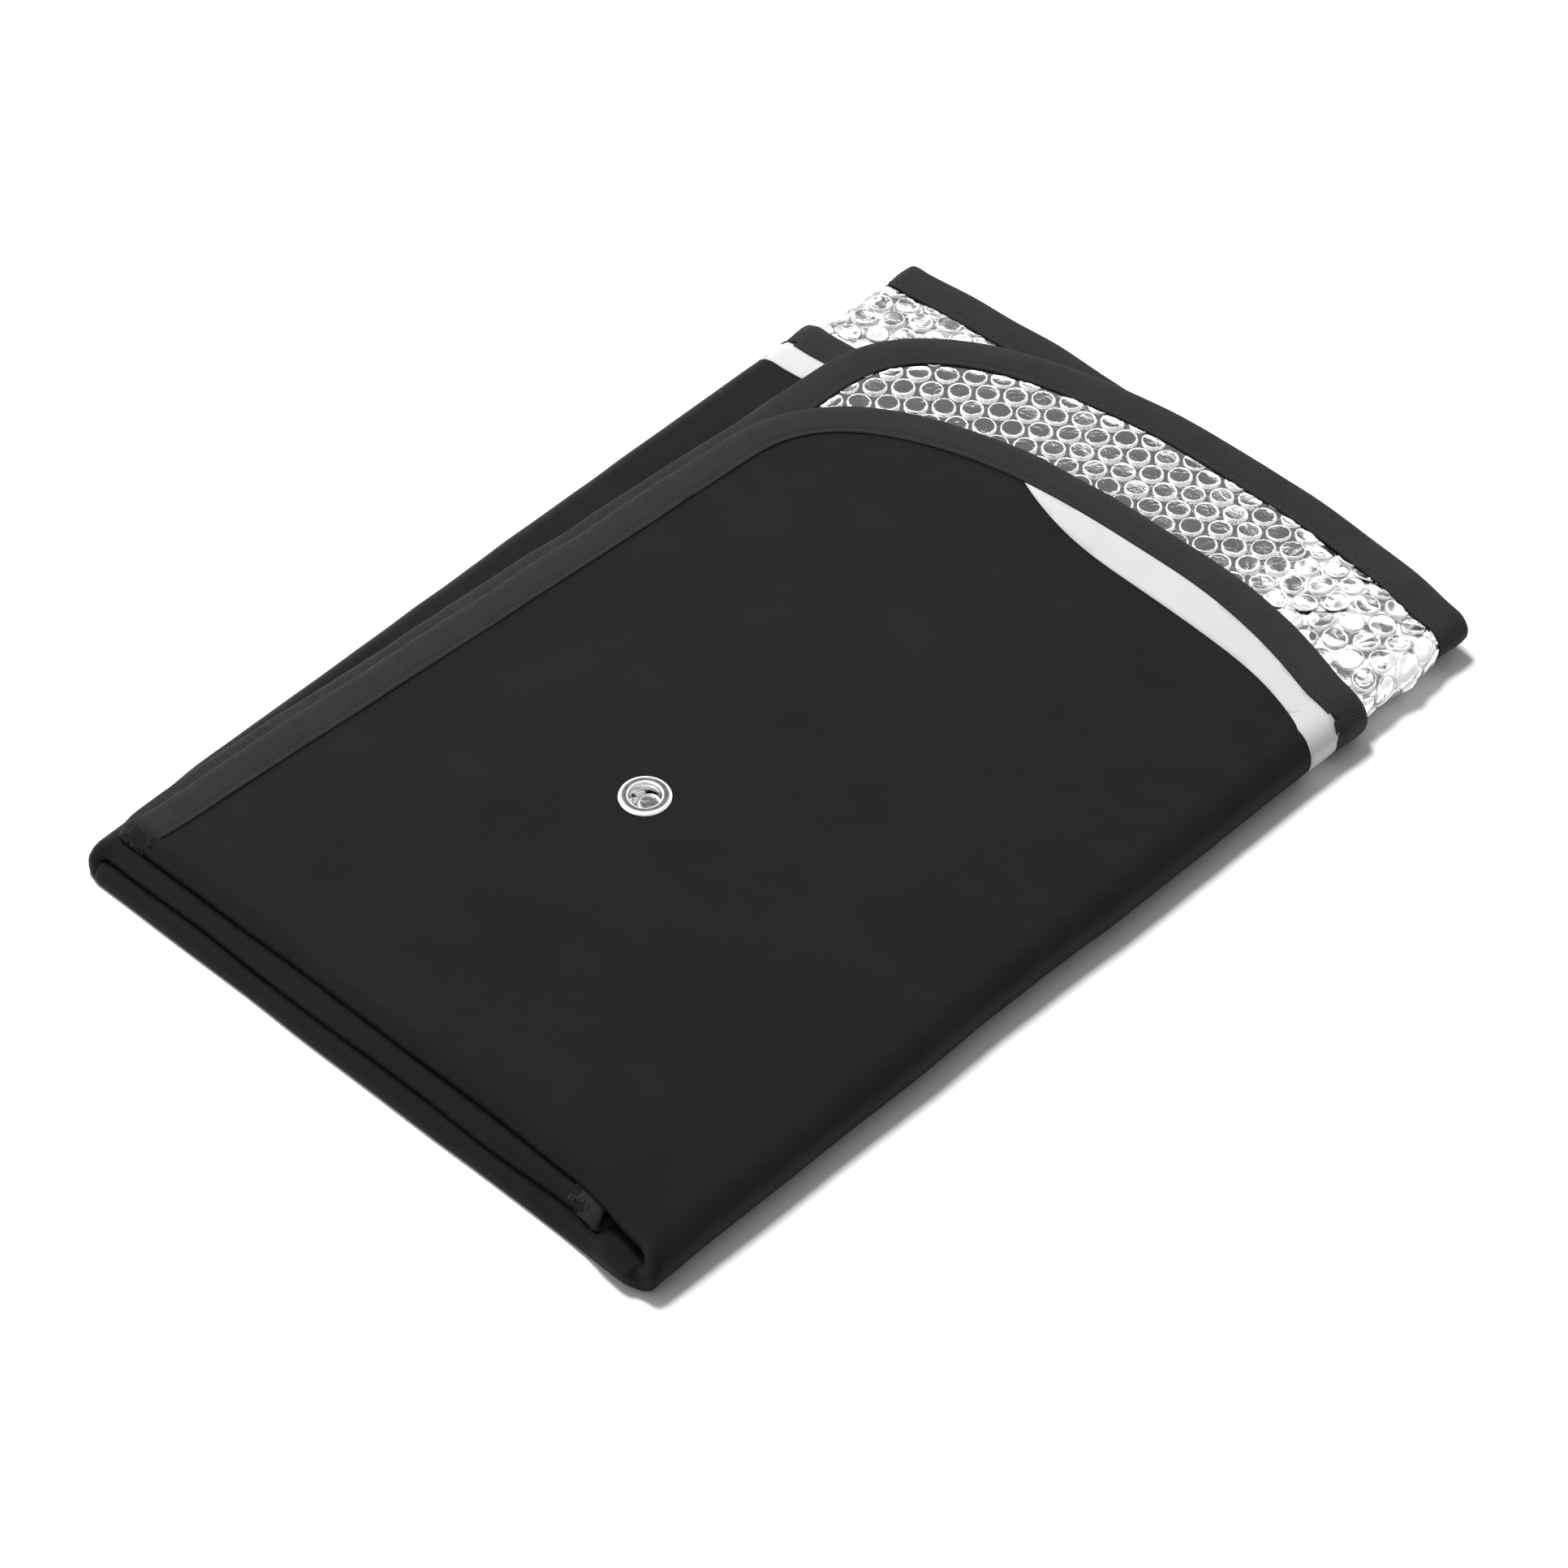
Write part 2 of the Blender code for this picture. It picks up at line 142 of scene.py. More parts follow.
def settle(points):
    # the folded packet isn't quite true: it bows, waves and droops at its open end
    x, y, z = points.T.copy()
    along = (y - folding["frontY"]) / folding["sheetLength"]
    under = 1 - smooth((z - 0.0125) / 0.002)
    left = np.clip(-x / 0.147, 0, 1) ** 2 * under
    x += left * folding["leftBulge"] * np.sin(math.pi * np.clip(along * 0.86, 0, 1))
    right = np.clip((x - 0.07) / 0.077, 0, 1) ** 1.5
    x += right * folding["rightBulge"] * (2 * along - 0.9) + right * 0.0012 * (softNoise(y, 0 * y, 0.06, 8) - 0.5)
    past = smooth((y - outerEndY + 0.012) / (folding["outerShort"] + 0.004))
    past *= 1 - smooth((x - 0.085) / 0.035)
    z -= past * np.minimum(folding["endDroop"] + 0.06 * np.maximum(z - 0.0035, 0), np.maximum(z - 0.0004, 0) * 0.9)
    # the front right corner is pressed down and drawn forward
    # and its cloth pleats round the hole beside the left flap's edge
    fromFront = y - folding["frontY"]
    corner = smooth((x - 0.096) / 0.044) * (1 - smooth(fromFront / 0.044))
    y -= folding["cornerForward"] * corner * np.clip(z / stackTop, 0, 1.1)
    pleat = np.sin(np.arctan2(fromFront - 0.006, x - 0.100) * 15 + 3 * softNoise(x, y, 0.02, 9))
    reach = smooth((x - 0.104) / 0.012) * (1 - smooth((np.hypot(x - 0.100, fromFront - 0.006) - 0.020) / 0.026))
    z += folding["pleat"] * pleat * reach * np.clip((z - 0.008) / 0.006, 0, 1)
    z *= 1 - folding["cornerDrop"] * corner
    share = np.clip(z / stackTop, 0, 1.3)
    z += share * 0.0020 * (softNoise(x, y, 0.11, 3) - 0.45)
    z += share * 0.0006 * (softNoise(x, y, 0.035, 4) - 0.5)
    # the front left corner is drawn in, and the open end runs on a little towards the right
    nearLeft = smooth((-0.105 - x) / 0.042) * (1 - smooth(fromFront / 0.07))
    x += folding["frontLeftIn"] * nearLeft
    y += folding["openEndSlant"] * np.maximum(x - 0.045, 0) * smooth((y - outerEndY + 0.05) / 0.08)
    lowest = folding["lowest"]
    z = np.where(z < lowest, lowest * np.exp(np.minimum(z / lowest - 1, 0)), z)  # the floor holds it up
    return np.stack((x, y, z), 1)


def ripple(s, v):
    # faint wrinkles that all the layers of one sheet share
    wave = 0.00055 * (softNoise(s * 0.45, v, 0.016, 11) - 0.5)
    wave += 0.0005 * (softNoise(s, v * 0.4, 0.03, 12) - 0.5)
    return wave


def foldMat(flat):
    s, v, k = flat.T
    k = k + ripple(s, v)
    turn = np.clip(v / turnLength, -1, 1) * math.pi / 2
    radius = halfLeaf + k + folding["puff"] * (1 - smooth((np.abs(v) - 0.003) / 0.026))
    rightTurn = np.clip((s - rightX) / rightRadius, 0, math.pi)
    leftTurn = np.clip((leftX - s) / leftRadius, 0, math.pi)
    # a folded edge sags onto the leaf below, so it slopes on top and is blunt beneath
    upright = np.cos(rightTurn) * np.cos(leftTurn)
    topSide = np.clip(upright * np.sin(turn), 0, 1)
    bluntness = 0.42 + 0.40 * topSide
    y = leafFront(s) - radius * np.cos(turn) ** bluntness * 1.1 + np.maximum(np.abs(v) - turnLength, 0)
    # at the right side fold the two leaves' centre folds lean together and shut the hollow between them
    across = np.where(s > rightX + rightArc / 2, 2 * rightX + rightArc - s, s)
    lean = smooth((across - 0.113) / 0.011) * (1 - smooth((np.abs(v) - 0.004) / 0.030))
    upper = (1 - upright) / 2
    inside = np.maximum(np.sin(turn), 0)
    h = -radius * np.sin(turn) - folding["cornerClose"] * lean * inside * (1 - upper)
    h += folding["sag"] * upright * np.cos(turn) ** 0.7 * (1 + 0.7 * lean * upper)
    onRight, onLeft = s > rightX, s < leftX
    x = np.clip(s, leftX, rightX)
    x = np.where(onRight, rightX + (rightRadius + h) * np.sin(rightTurn) - np.maximum(s - rightX - rightArc, 0), x)
    x = np.where(onLeft, leftX - (leftRadius + h) * np.sin(leftTurn) + np.maximum(leftX - leftArc - s, 0), x)
    z = leafZ[0] - h
    z = np.where(onRight, (leafZ[0] + leafZ[2]) / 2 - (rightRadius + h) * np.cos(rightTurn), z)
    z = np.where(onLeft, (leafZ[0] + leafZ[1]) / 2 - (leftRadius + h) * np.cos(leftTurn), z)
    return settle(np.stack((x, y, z), 1))


# The cut outline

outline = {
    "cornerLength": 0.090,
    "cornerPower": 2.5,
    "crownFromFold": 0.088,
    "edgeSlant": 0.060,
    "rightShort": (0.011, 0.004),  # outer half, inner half
    "leftShort": (0.035, 0.030),
    "dropLeft": (0.006, 0.006),
    "dropRight": (0.017, 0.014),
    "spacing": 0.0025,
    "rounding": 0.005,
}


def endY(half):
    return innerEndY if half else outerEndY


def flapEdge(side, half):
    # a flap's free edge in the packet's x and y, from the centre fold to the side fold
    short = outline["rightShort" if side > 0 else "leftShort"][half]
    drop = outline["dropRight" if side > 0 else "dropLeft"][half]
    crown = endY(half)
    start = folding["frontY"] + halfLeaf + 0.0009 + folding["setBack"] * (2 if side > 0 else 1)
    cornerY = crown - outline["cornerLength"]
    foldX = rightX if side > 0 else leftX
    freeX = -side * (folding["width"] / 2 - short)
    cornerX = freeX + side * outline["edgeSlant"] * (cornerY - start)
    crownX = foldX - side * outline["crownFromFold"]
    points = [(freeX + (cornerX - freeX) * i / 80, start + (cornerY - start) * i / 80) for i in range(80)]
    for step in range(161):
        turn = math.pi / 2 * step / 160
        across = abs(math.cos(turn)) ** (2 / outline["cornerPower"])
        up = math.sin(turn) ** (2 / outline["cornerPower"])
        points.append((crownX + (cornerX - crownX) * across, cornerY + outline["cornerLength"] * up))
    for step in range(1, 41):
        share = step / 40
        points.append((crownX + (foldX - crownX) * share, crown - drop * share**2))
    return np.array(points)


def toFlat(points, side, half):
    # packet x and y to the flat mat's s and v
    x, y = points.T
    s = x
    if side > 0:
        s = rightX + rightArc + (rightX - x)
    if side < 0:
        s = leftX - leftArc - (x - leftX)
    v = y - leafFront(s) + turnLength
    return np.stack((s, v if half else -v), 1)


def endRun(half):
    # the base's end edge with the arcs of both side folds, from right to left
    drops = outline["dropLeft"][half], outline["dropRight"][half]
    x = np.linspace(rightX, leftX, 120)
    y = endY(half) - np.where(x < 0, drops[0] * (x / leftX) ** 2, drops[1] * (x / rightX) ** 2)
    base = toFlat(np.stack((x, y), 1), 0, half)
    arcs = []
    for start, length, drop in ((rightX, rightArc, drops[1]), (leftX, -leftArc, drops[0])):
        s = start + length * np.linspace(1, 0, 12)[:-1]
        v = endY(half) - drop - leafFront(s) + turnLength
        arcs.append(np.stack((s, v if half else -v), 1))
    return np.concatenate((arcs[0], base, arcs[1][::-1]))


def evenly(points, spacing, closed=True):
    # the same line with evenly spaced points
    line = np.concatenate((points, points[:1])) if closed else points
    reach = np.concatenate(([0], np.cumsum(np.linalg.norm(np.diff(line, axis=0), axis=1))))
    count = max(2, round(reach[-1] / spacing))
    at = np.linspace(0, reach[-1], count + 1)
    if closed:
        at = at[:-1]
    return np.stack([np.interp(at, reach, line[:, axis]) for axis in range(points.shape[1])], 1)


def rounded(points, size, spacing):
    # a closed line with its kinks smoothed over this length
    offsets = np.arange(-int(3 * size / spacing), int(3 * size / spacing) + 1)
    weights = np.exp(-0.5 * (offsets * spacing / size) ** 2)
    weights /= weights.sum()
    return sum(w * np.roll(points, -o, axis=0) for w, o in zip(weights, offsets))


def makeOutline():
    runs = [toFlat(flapEdge(1, 0), 1, 0), endRun(0), toFlat(flapEdge(-1, 0), -1, 0)[::-1]]
    runs += [toFlat(flapEdge(-1, 1), -1, 1), endRun(1)[::-1], toFlat(flapEdge(1, 1), 1, 1)[::-1]]
    line = evenly(np.concatenate(runs), outline["spacing"] / 2)
    line = rounded(line, outline["rounding"], outline["spacing"] / 2)
    return evenly(line, outline["spacing"])


def inwards(points):
    # unit vectors towards the sheet, at each point of the closed cut edge
    along = np.roll(points, -1, axis=0) - np.roll(points, 1, axis=0)
    along /= np.linalg.norm(along, axis=1)[:, None]
    x, y = points.T
    area = (x * np.roll(y, -1) - y * np.roll(x, -1)).sum()
    return np.stack((-along[:, 1], along[:, 0]), 1) * (1 if area > 0 else -1)


def splitAt(points, edge, right):
    # the run of a closed line on one side of s = edge, with its two ends exactly on it
    inside = points[:, 0] >= edge if right else points[:, 0] <= edge
    first = np.flatnonzero(inside & ~np.roll(inside, 1))[0]
    points, inside = np.roll(points, -first, axis=0), np.roll(inside, -first)
    last = np.flatnonzero(inside)[-1]
    ends = []
    for a, b in ((points[-1], points[0]), (points[last], points[(last + 1) % len(points)])):
        share = (edge - a[0]) / (b[0] - a[0])
        ends.append(a + (b - a) * share)
    run = points[: last + 1]
    keep = np.abs(run[:, 0] - edge) > 0.0004
    return np.concatenate(([ends[0]], run[keep], [ends[1]]))


cutEdge = makeOutline()
cutInwards = inwards(cutEdge)
print("cut outline has", len(cutEdge), "points, flat size", np.ptp(cutEdge, axis=0).round(3))


# Meshes


def newObject(name, vertices, faces, uv=None):
    mesh = bpy.data.meshes.new(name)
    mesh.from_pydata(np.asarray(vertices).tolist(), [], faces)
    mesh.polygons.foreach_set("use_smooth", [True] * len(mesh.polygons))
    if uv is not None:
        layer = mesh.uv_layers.new(name="flat")
        corners = np.empty(len(mesh.loops), int)
        mesh.loops.foreach_get("vertex_index", corners)
        layer.data.foreach_set("uv", np.asarray(uv)[corners].astype(np.float32).ravel())
    obj = bpy.data.objects.new(name, mesh)
    bpy.context.scene.collection.objects.link(obj)
    return obj


def insidePolygon(points, polygon):
    x, y = points.T
    inside = np.zeros(len(points), bool)
    for (ax, ay), (bx, by) in zip(polygon, np.roll(polygon, -1, axis=0)):
        if ay == by:
            continue
        hit = ((ay > y) != (by > y)) & (x < (bx - ax) * (y - ay) / (by - ay) + ax)
        inside ^= hit
    return inside


def nearestGap(points, line):
    nearest = np.full(len(points), np.inf)
    for start in range(0, len(line), 200):
        part = line[start : start + 200]
        gap = np.hypot(points[:, None, 0] - part[None, :, 0], points[:, None, 1] - part[None, :, 1])
        nearest = np.minimum(nearest, gap.min(1))
    return nearest


def linesBetween(low, high, coarse, fineZones):
    # grid line places: coarse steps, and finer ones inside each zone of (from, to, step)
    places, at = [], low
    while at < high:
        places.append(at)
        step = min([coarse] + [zone[2] for zone in fineZones if zone[0] - 1e-9 <= at < zone[1] - 1e-9])
        ahead = [zone[0] for zone in fineZones if zone[0] > at + 1e-9]
        if ahead and at + step > min(ahead):
            step = min(ahead) - at
        at += step
    return np.array(places)


def gridPoints(columns, rows):
    return np.stack(np.meshgrid(columns, rows), -1).reshape(-1, 2)


def cutSheet(polygon, lattice, margin=0.0012, holes=()):
    # triangles that fill a polygon, with the grid points inside it and round holes left open
    lattice = lattice[insidePolygon(lattice, polygon)]
    lattice = lattice[nearestGap(lattice, evenly(polygon, 0.0012)) > margin]
    rims = []
    for centre, radius in holes:
        turn = np.linspace(0, 2 * math.pi, 49)[:-1]
        rims.append(np.stack((centre[0] + radius * np.cos(turn), centre[1] + radius * np.sin(turn)), 1))
        lattice = lattice[np.hypot(*(lattice - centre).T) > radius + margin]
    points, edges = [polygon], [(i, (i + 1) % len(polygon)) for i in range(len(polygon))]
    for rim in rims:
        first = sum(len(p) for p in points)
        points.append(rim)
        edges += [(first + i, first + (i + 1) % len(rim)) for i in range(len(rim))]
    points = np.concatenate(points + [lattice])
    vertices, _, faces, *_ = delaunay_2d_cdt([Vector(p) for p in points], edges, [], 1, 1e-7)
    vertices = np.array([tuple(p) for p in vertices])
    faces = np.array([face for face in faces if len(face) == 3])
    middle = vertices[faces].mean(1)
    keep = insidePolygon(middle, polygon)
    for centre, radius in holes:
        keep &= np.hypot(*(middle - centre).T) > radius * 0.999
    a, b, c = (vertices[faces[:, i]] for i in range(3))
    size = (b[:, 0] - a[:, 0]) * (c[:, 1] - a[:, 1]) - (b[:, 1] - a[:, 1]) * (c[:, 0] - a[:, 0])
    faces[size < 0] = faces[size < 0][:, ::-1]
    return vertices, faces[keep & (np.abs(size) > 1e-12)]


def thickSheet(name, vertices, faces, low, high):
    # a closed thin sheet from flat triangles, between two heights off the sheet's middle
    used = np.unique(faces)
    index = np.full(len(vertices), -1)
    index[used] = np.arange(len(used))
    vertices, faces = vertices[used], index[faces]
    count = len(vertices)
    edges = np.concatenate([faces[:, [0, 1]], faces[:, [1, 2]], faces[:, [2, 0]]])
    _, first, uses = np.unique(np.sort(edges, axis=1), axis=0, return_index=True, return_counts=True)
    rim = edges[first[uses == 1]]
    top = np.column_stack((vertices, np.full(count, high)))
    bottom = np.column_stack((vertices, np.full(count, low)))
    allFaces = faces.tolist() + (faces[:, ::-1] + count).tolist()
    allFaces += [[b, a, a + count, b + count] for a, b in rim.tolist()]
    return newObject(name, np.concatenate((top, bottom)), allFaces)


def foldPiece(obj, keepUv=False):
    # gives a flat piece its unfolded UV map, then folds it
    mesh = obj.data
    flat = np.empty(len(mesh.vertices) * 3)
    mesh.vertices.foreach_get("co", flat)
    flat = flat.reshape(-1, 3)
    if not keepUv:
        while mesh.uv_layers:
            mesh.uv_layers.remove(mesh.uv_layers[0])
        layer = mesh.uv_layers.new(name="flat")
        corners = np.empty(len(mesh.loops), int)
        mesh.loops.foreach_get("vertex_index", corners)
        layer.data.foreach_set("uv", flat[corners, :2].astype(np.float32).ravel())
    if obj.name.endswith("right"):
        mesh.attributes.new("unfolded", "FLOAT_VECTOR", "POINT").data.foreach_set("vector", flat.astype(np.float32).ravel())
    mesh.vertices.foreach_set("co", foldMat(flat).ravel())
    mesh.update()
    return obj


# where the right part is cut into the base's, the side fold's and the flap's own pieces
foldFrom, foldTo = rightX - folding["foldMargin"], rightX + rightArc + folding["foldMargin"]
cuts = {"base": (sideSeam, foldFrom), "fold": (foldFrom, foldTo), "flap": (foldTo, 1.0)}


def closeCut(work, isSheet):
    # walls between the two faces of a sheet along a cut, then any hole that is left
    layer = work.verts.layers.float_vector["unfolded"]
    flat = {vert: tuple(vert[layer][:2]) for vert in work.verts}
    pairs = {}
    for edge in work.edges:
        if edge.is_boundary:
            edge.smooth = False
            pairs.setdefault(frozenset(flat[vert] for vert in edge.verts), []).append(edge)
    for ends, edges in pairs.items():
        if not isSheet or len(edges) != 2 or len(ends) != 2:
            continue
        a, b = edges[0].link_loops[0].vert, edges[0].link_loops[0].link_loop_next.vert
        c, d = sorted(edges[1].verts, key=lambda vert: flat[vert] != flat[b])
        if flat[c] == flat[b] and flat[d] == flat[a] and not work.faces.get((b, a, d, c)):
            work.faces.new((b, a, d, c))
    rest = [edge for edge in work.edges if edge.is_boundary]
    bmesh.ops.holes_fill(work, edges=rest, sides=0)
    work.verts.layers.float_vector.remove(layer)


def splitPiece(obj):
    # one closed piece for each part, cut along the lines between faces
    mesh = obj.data
    places = np.empty(len(mesh.vertices) * 3, np.float32)
    mesh.attributes["unfolded"].data.foreach_get("vector", places)
    across = places[::3]
    corners, starts = np.empty(len(mesh.loops), int), np.empty(len(mesh.polygons), int)
    mesh.loops.foreach_get("vertex_index", corners)
    mesh.polygons.foreach_get("loop_start", starts)
    centres = np.add.reduceat(across[corners], starts) / np.diff(np.append(starts, len(corners)))
    parts = {}
    for part, (low, high) in cuts.items():
        keep = (centres < high) & ((centres >= low) | (part == "base"))
        if not keep.any():
            continue
        piece = bpy.data.objects.new(obj.name.replace("right", part), mesh.copy())
        piece.data.name = piece.name
        bpy.context.scene.collection.objects.link(piece)
        work = bmesh.new()
        work.from_mesh(piece.data)
        work.faces.ensure_lookup_table()
        bmesh.ops.delete(work, geom=[work.faces[int(i)] for i in np.flatnonzero(~keep)], context="FACES")
        closeCut(work, obj.name.startswith(("fabric", "film")))
        work.to_mesh(piece.data)
        work.free()
        parts[part] = piece
    bpy.data.objects.remove(obj, do_unlink=True)
    return parts


# Node helpers


def link(tree, source, target):
    tree.links.new(source, target)


def addNode(tree, kind, place=(0, 0), **settings):
    node = tree.nodes.new(kind)
    node.location = place
    for name, value in settings.items():
        setattr(node, name, value)
    return node


def mathNode(tree, operation, first, second=None):
    node = addNode(tree, "ShaderNodeMath", operation=operation)
    for socket, value in zip(node.inputs, (first, second)):
        if value is None:
            continue
        if isinstance(value, (int, float)):
            socket.default_value = value
        else:
            link(tree, value, socket)
    return node.outputs[0]


def newTree(name, kind, inputs, outputs):
    tree = bpy.data.node_groups.new(name, kind)
    for label, socketType, value in inputs:
        socket = tree.interface.new_socket(name=label, in_out="INPUT", socket_type=socketType)
        if value is not None:
            socket.default_value = value
    for label, socketType in outputs:
        tree.interface.new_socket(name=label, in_out="OUTPUT", socket_type=socketType)
    return tree, addNode(tree, "NodeGroupInput"), addNode(tree, "NodeGroupOutput")


def runTree(obj, tree, values):
    # runs a geometry node tree on an object and keeps the result as a plain mesh
    modifier = obj.modifiers.new(tree.name, "NODES")
    modifier.node_group = tree
    for item in tree.interface.items_tree:
        if item.in_out == "INPUT" and item.name in values:
            modifier[item.identifier] = values[item.name]
    obj.update_tag()
    bpy.context.view_layer.update()
    graph = bpy.context.evaluated_depsgraph_get()
    result = bpy.data.meshes.new_from_object(obj.evaluated_get(graph))
    old = obj.data
    obj.modifiers.clear()
    obj.data = result
    bpy.data.meshes.remove(old)
    result.name = obj.name
    return obj


# Shader effects shared by several materials


def makeWeave():
    # over and under threads: a height, and how much the threads cross
    tree, start, end = newTree(
        "threadWeave",
        "ShaderNodeTree",
        [("Vector", "NodeSocketVector", None), ("Across", "NodeSocketFloat", 2000.0), ("Along", "NodeSocketFloat", 2000.0)],
        [("Height", "NodeSocketFloat"), ("Thread", "NodeSocketFloat")],
    )
    parts = addNode(tree, "ShaderNodeSeparateXYZ")
    link(tree, start.outputs["Vector"], parts.inputs[0])
    a = mathNode(tree, "SINE", mathNode(tree, "MULTIPLY", parts.outputs[0], start.outputs["Across"]))
    b = mathNode(tree, "SINE", mathNode(tree, "MULTIPLY", parts.outputs[1], start.outputs["Along"]))
    both = mathNode(tree, "MULTIPLY", a, b)
    link(tree, mathNode(tree, "MULTIPLY_ADD", both, 0.5), end.inputs["Height"])
    end.inputs["Height"].links[0].from_node.inputs[2].default_value = 0.5
    link(tree, mathNode(tree, "ABSOLUTE", both), end.inputs["Thread"])
    return tree


def makePatches():
    # slow cloudy change, for colour and gloss that aren't even
    tree, start, end = newTree(
        "cloudyPatches",
        "ShaderNodeTree",
        [
            ("Vector", "NodeSocketVector", None),
            ("Scale", "NodeSocketFloat", 20.0),
            ("Low", "NodeSocketFloat", 0.0),
            ("High", "NodeSocketFloat", 1.0),
        ],
        [("Value", "NodeSocketFloat")],
    )
    noise = addNode(tree, "ShaderNodeTexNoise")
    noise.inputs["Detail"].default_value = 4
    noise.inputs["Roughness"].default_value = 0.6
    link(tree, start.outputs["Vector"], noise.inputs["Vector"])
    link(tree, start.outputs["Scale"], noise.inputs["Scale"])
    spread = addNode(tree, "ShaderNodeMapRange", clamp=True)
    spread.inputs["From Min"].default_value = 0.3
    spread.inputs["From Max"].default_value = 0.7
    link(tree, noise.outputs["Fac"], spread.inputs["Value"])
    link(tree, start.outputs["Low"], spread.inputs["To Min"])
    link(tree, start.outputs["High"], spread.inputs["To Max"])
    link(tree, spread.outputs["Result"], end.inputs["Value"])
    return tree


def makeCreases():
    # a net of thin creases, bent by noise
    tree, start, end = newTree(
        "creaseNet",
        "ShaderNodeTree",
        [
            ("Vector", "NodeSocketVector", None),
            ("Scale", "NodeSocketFloat", 60.0),
            ("Bend", "NodeSocketFloat", 0.01),
            ("Width", "NodeSocketFloat", 0.08),
        ],
        [("Height", "NodeSocketFloat"), ("Facet", "NodeSocketFloat")],
    )
    noise = addNode(tree, "ShaderNodeTexNoise")
    noise.inputs["Scale"].default_value = 45
    link(tree, start.outputs["Vector"], noise.inputs["Vector"])
    centred = addNode(tree, "ShaderNodeVectorMath", operation="SUBTRACT")
    link(tree, noise.outputs["Color"], centred.inputs[0])
    centred.inputs[1].default_value = (0.5, 0.5, 0.5)
    scaled = addNode(tree, "ShaderNodeVectorMath", operation="SCALE")
    link(tree, centred.outputs[0], scaled.inputs[0])
    link(tree, start.outputs["Bend"], scaled.inputs["Scale"])
    moved = addNode(tree, "ShaderNodeVectorMath", operation="ADD")
    link(tree, start.outputs["Vector"], moved.inputs[0])
    link(tree, scaled.outputs[0], moved.inputs[1])
    cells = addNode(tree, "ShaderNodeTexVoronoi", feature="DISTANCE_TO_EDGE")
    facets = addNode(tree, "ShaderNodeTexVoronoi", feature="F1")
    for node in (cells, facets):
        link(tree, moved.outputs[0], node.inputs["Vector"])
        link(tree, start.outputs["Scale"], node.inputs["Scale"])
    rise = addNode(tree, "ShaderNodeMapRange", interpolation_type="SMOOTHSTEP", clamp=True)
    link(tree, cells.outputs["Distance"], rise.inputs["Value"])
    link(tree, start.outputs["Width"], rise.inputs["From Max"])
    link(tree, rise.outputs["Result"], end.inputs["Height"])
    link(tree, facets.outputs["Distance"], end.inputs["Facet"])
    return tree


weaveGroup, patchGroup, creaseGroup = makeWeave(), makePatches(), makeCreases()


def newMaterial(name, colour, roughness, metallic=0.0):
    material = bpy.data.materials.new(name)
    material.use_nodes = True
    tree = material.node_tree
    shader = tree.nodes["Principled BSDF"]
    shader.inputs["Base Color"].default_value = (*colour, 1)
    shader.inputs["Roughness"].default_value = roughness
    shader.inputs["Metallic"].default_value = metallic
    return material, tree, shader


def useGroup(tree, group, vector, **values):
    node = addNode(tree, "ShaderNodeGroup")
    node.node_tree = group
    link(tree, vector, node.inputs["Vector"])
    for name, value in values.items():
        node.inputs[name].default_value = value
    return node


def flatVector(tree):
    return addNode(tree, "ShaderNodeUVMap", uv_map="flat").outputs["UV"]


def bumpFrom(tree, height, strength, distance, under=None):
    bump = addNode(tree, "ShaderNodeBump")
    bump.inputs["Strength"].default_value = strength
    bump.inputs["Distance"].default_value = distance
    link(tree, height, bump.inputs["Height"])
    if under:
        link(tree, under, bump.inputs["Normal"])
    return bump.outputs["Normal"]


def mixColours(tree, factor, low, high):
    mix = addNode(tree, "ShaderNodeMix", data_type="RGBA")
    link(tree, factor, mix.inputs["Factor"])
    mix.inputs["A"].default_value = (*low, 1)
    mix.inputs["B"].default_value = (*high, 1)
    return mix.outputs["Result"]


fabricLook = {"dark": (0.0070, 0.0070, 0.0072), "light": (0.0084, 0.0084, 0.0087), "roughness": 0.55, "threads": 0.00042}


def makeFabricMaterial():
    material, tree, shader = newMaterial("blackCoatedFabric", fabricLook["dark"], fabricLook["roughness"])
    flat = flatVector(tree)
    perMetre = 2 * math.pi / fabricLook["threads"] / 2
    weave = useGroup(tree, weaveGroup, flat, Across=perMetre, Along=perMetre)
    clouds = useGroup(tree, patchGroup, flat, Scale=26.0, Low=0.0, High=1.0)
    creases = useGroup(tree, creaseGroup, flat, Scale=16.0, Bend=0.05, Width=0.12)
    gloss = useGroup(tree, patchGroup, flat, Scale=40.0, Low=0.54, High=0.60)
    colour = mixColours(tree, clouds.outputs["Value"], fabricLook["dark"], fabricLook["light"])
    link(tree, colour, shader.inputs["Base Color"])
    link(tree, gloss.outputs["Value"], shader.inputs["Roughness"])
    fine = bumpFrom(tree, weave.outputs["Height"], 0.35, 0.00010)
    link(tree, bumpFrom(tree, creases.outputs["Facet"], 0.12, 0.004, fine), shader.inputs["Normal"])
    shader.inputs["Specular IOR Level"].default_value = 0.085
    return material


# dark is the tape's black; light is a painted highlight on the rib crests
tapeLook = {"dark": (0.006, 0.006, 0.0065), "light": (0.030, 0.030, 0.031), "ribs": 0.0010}


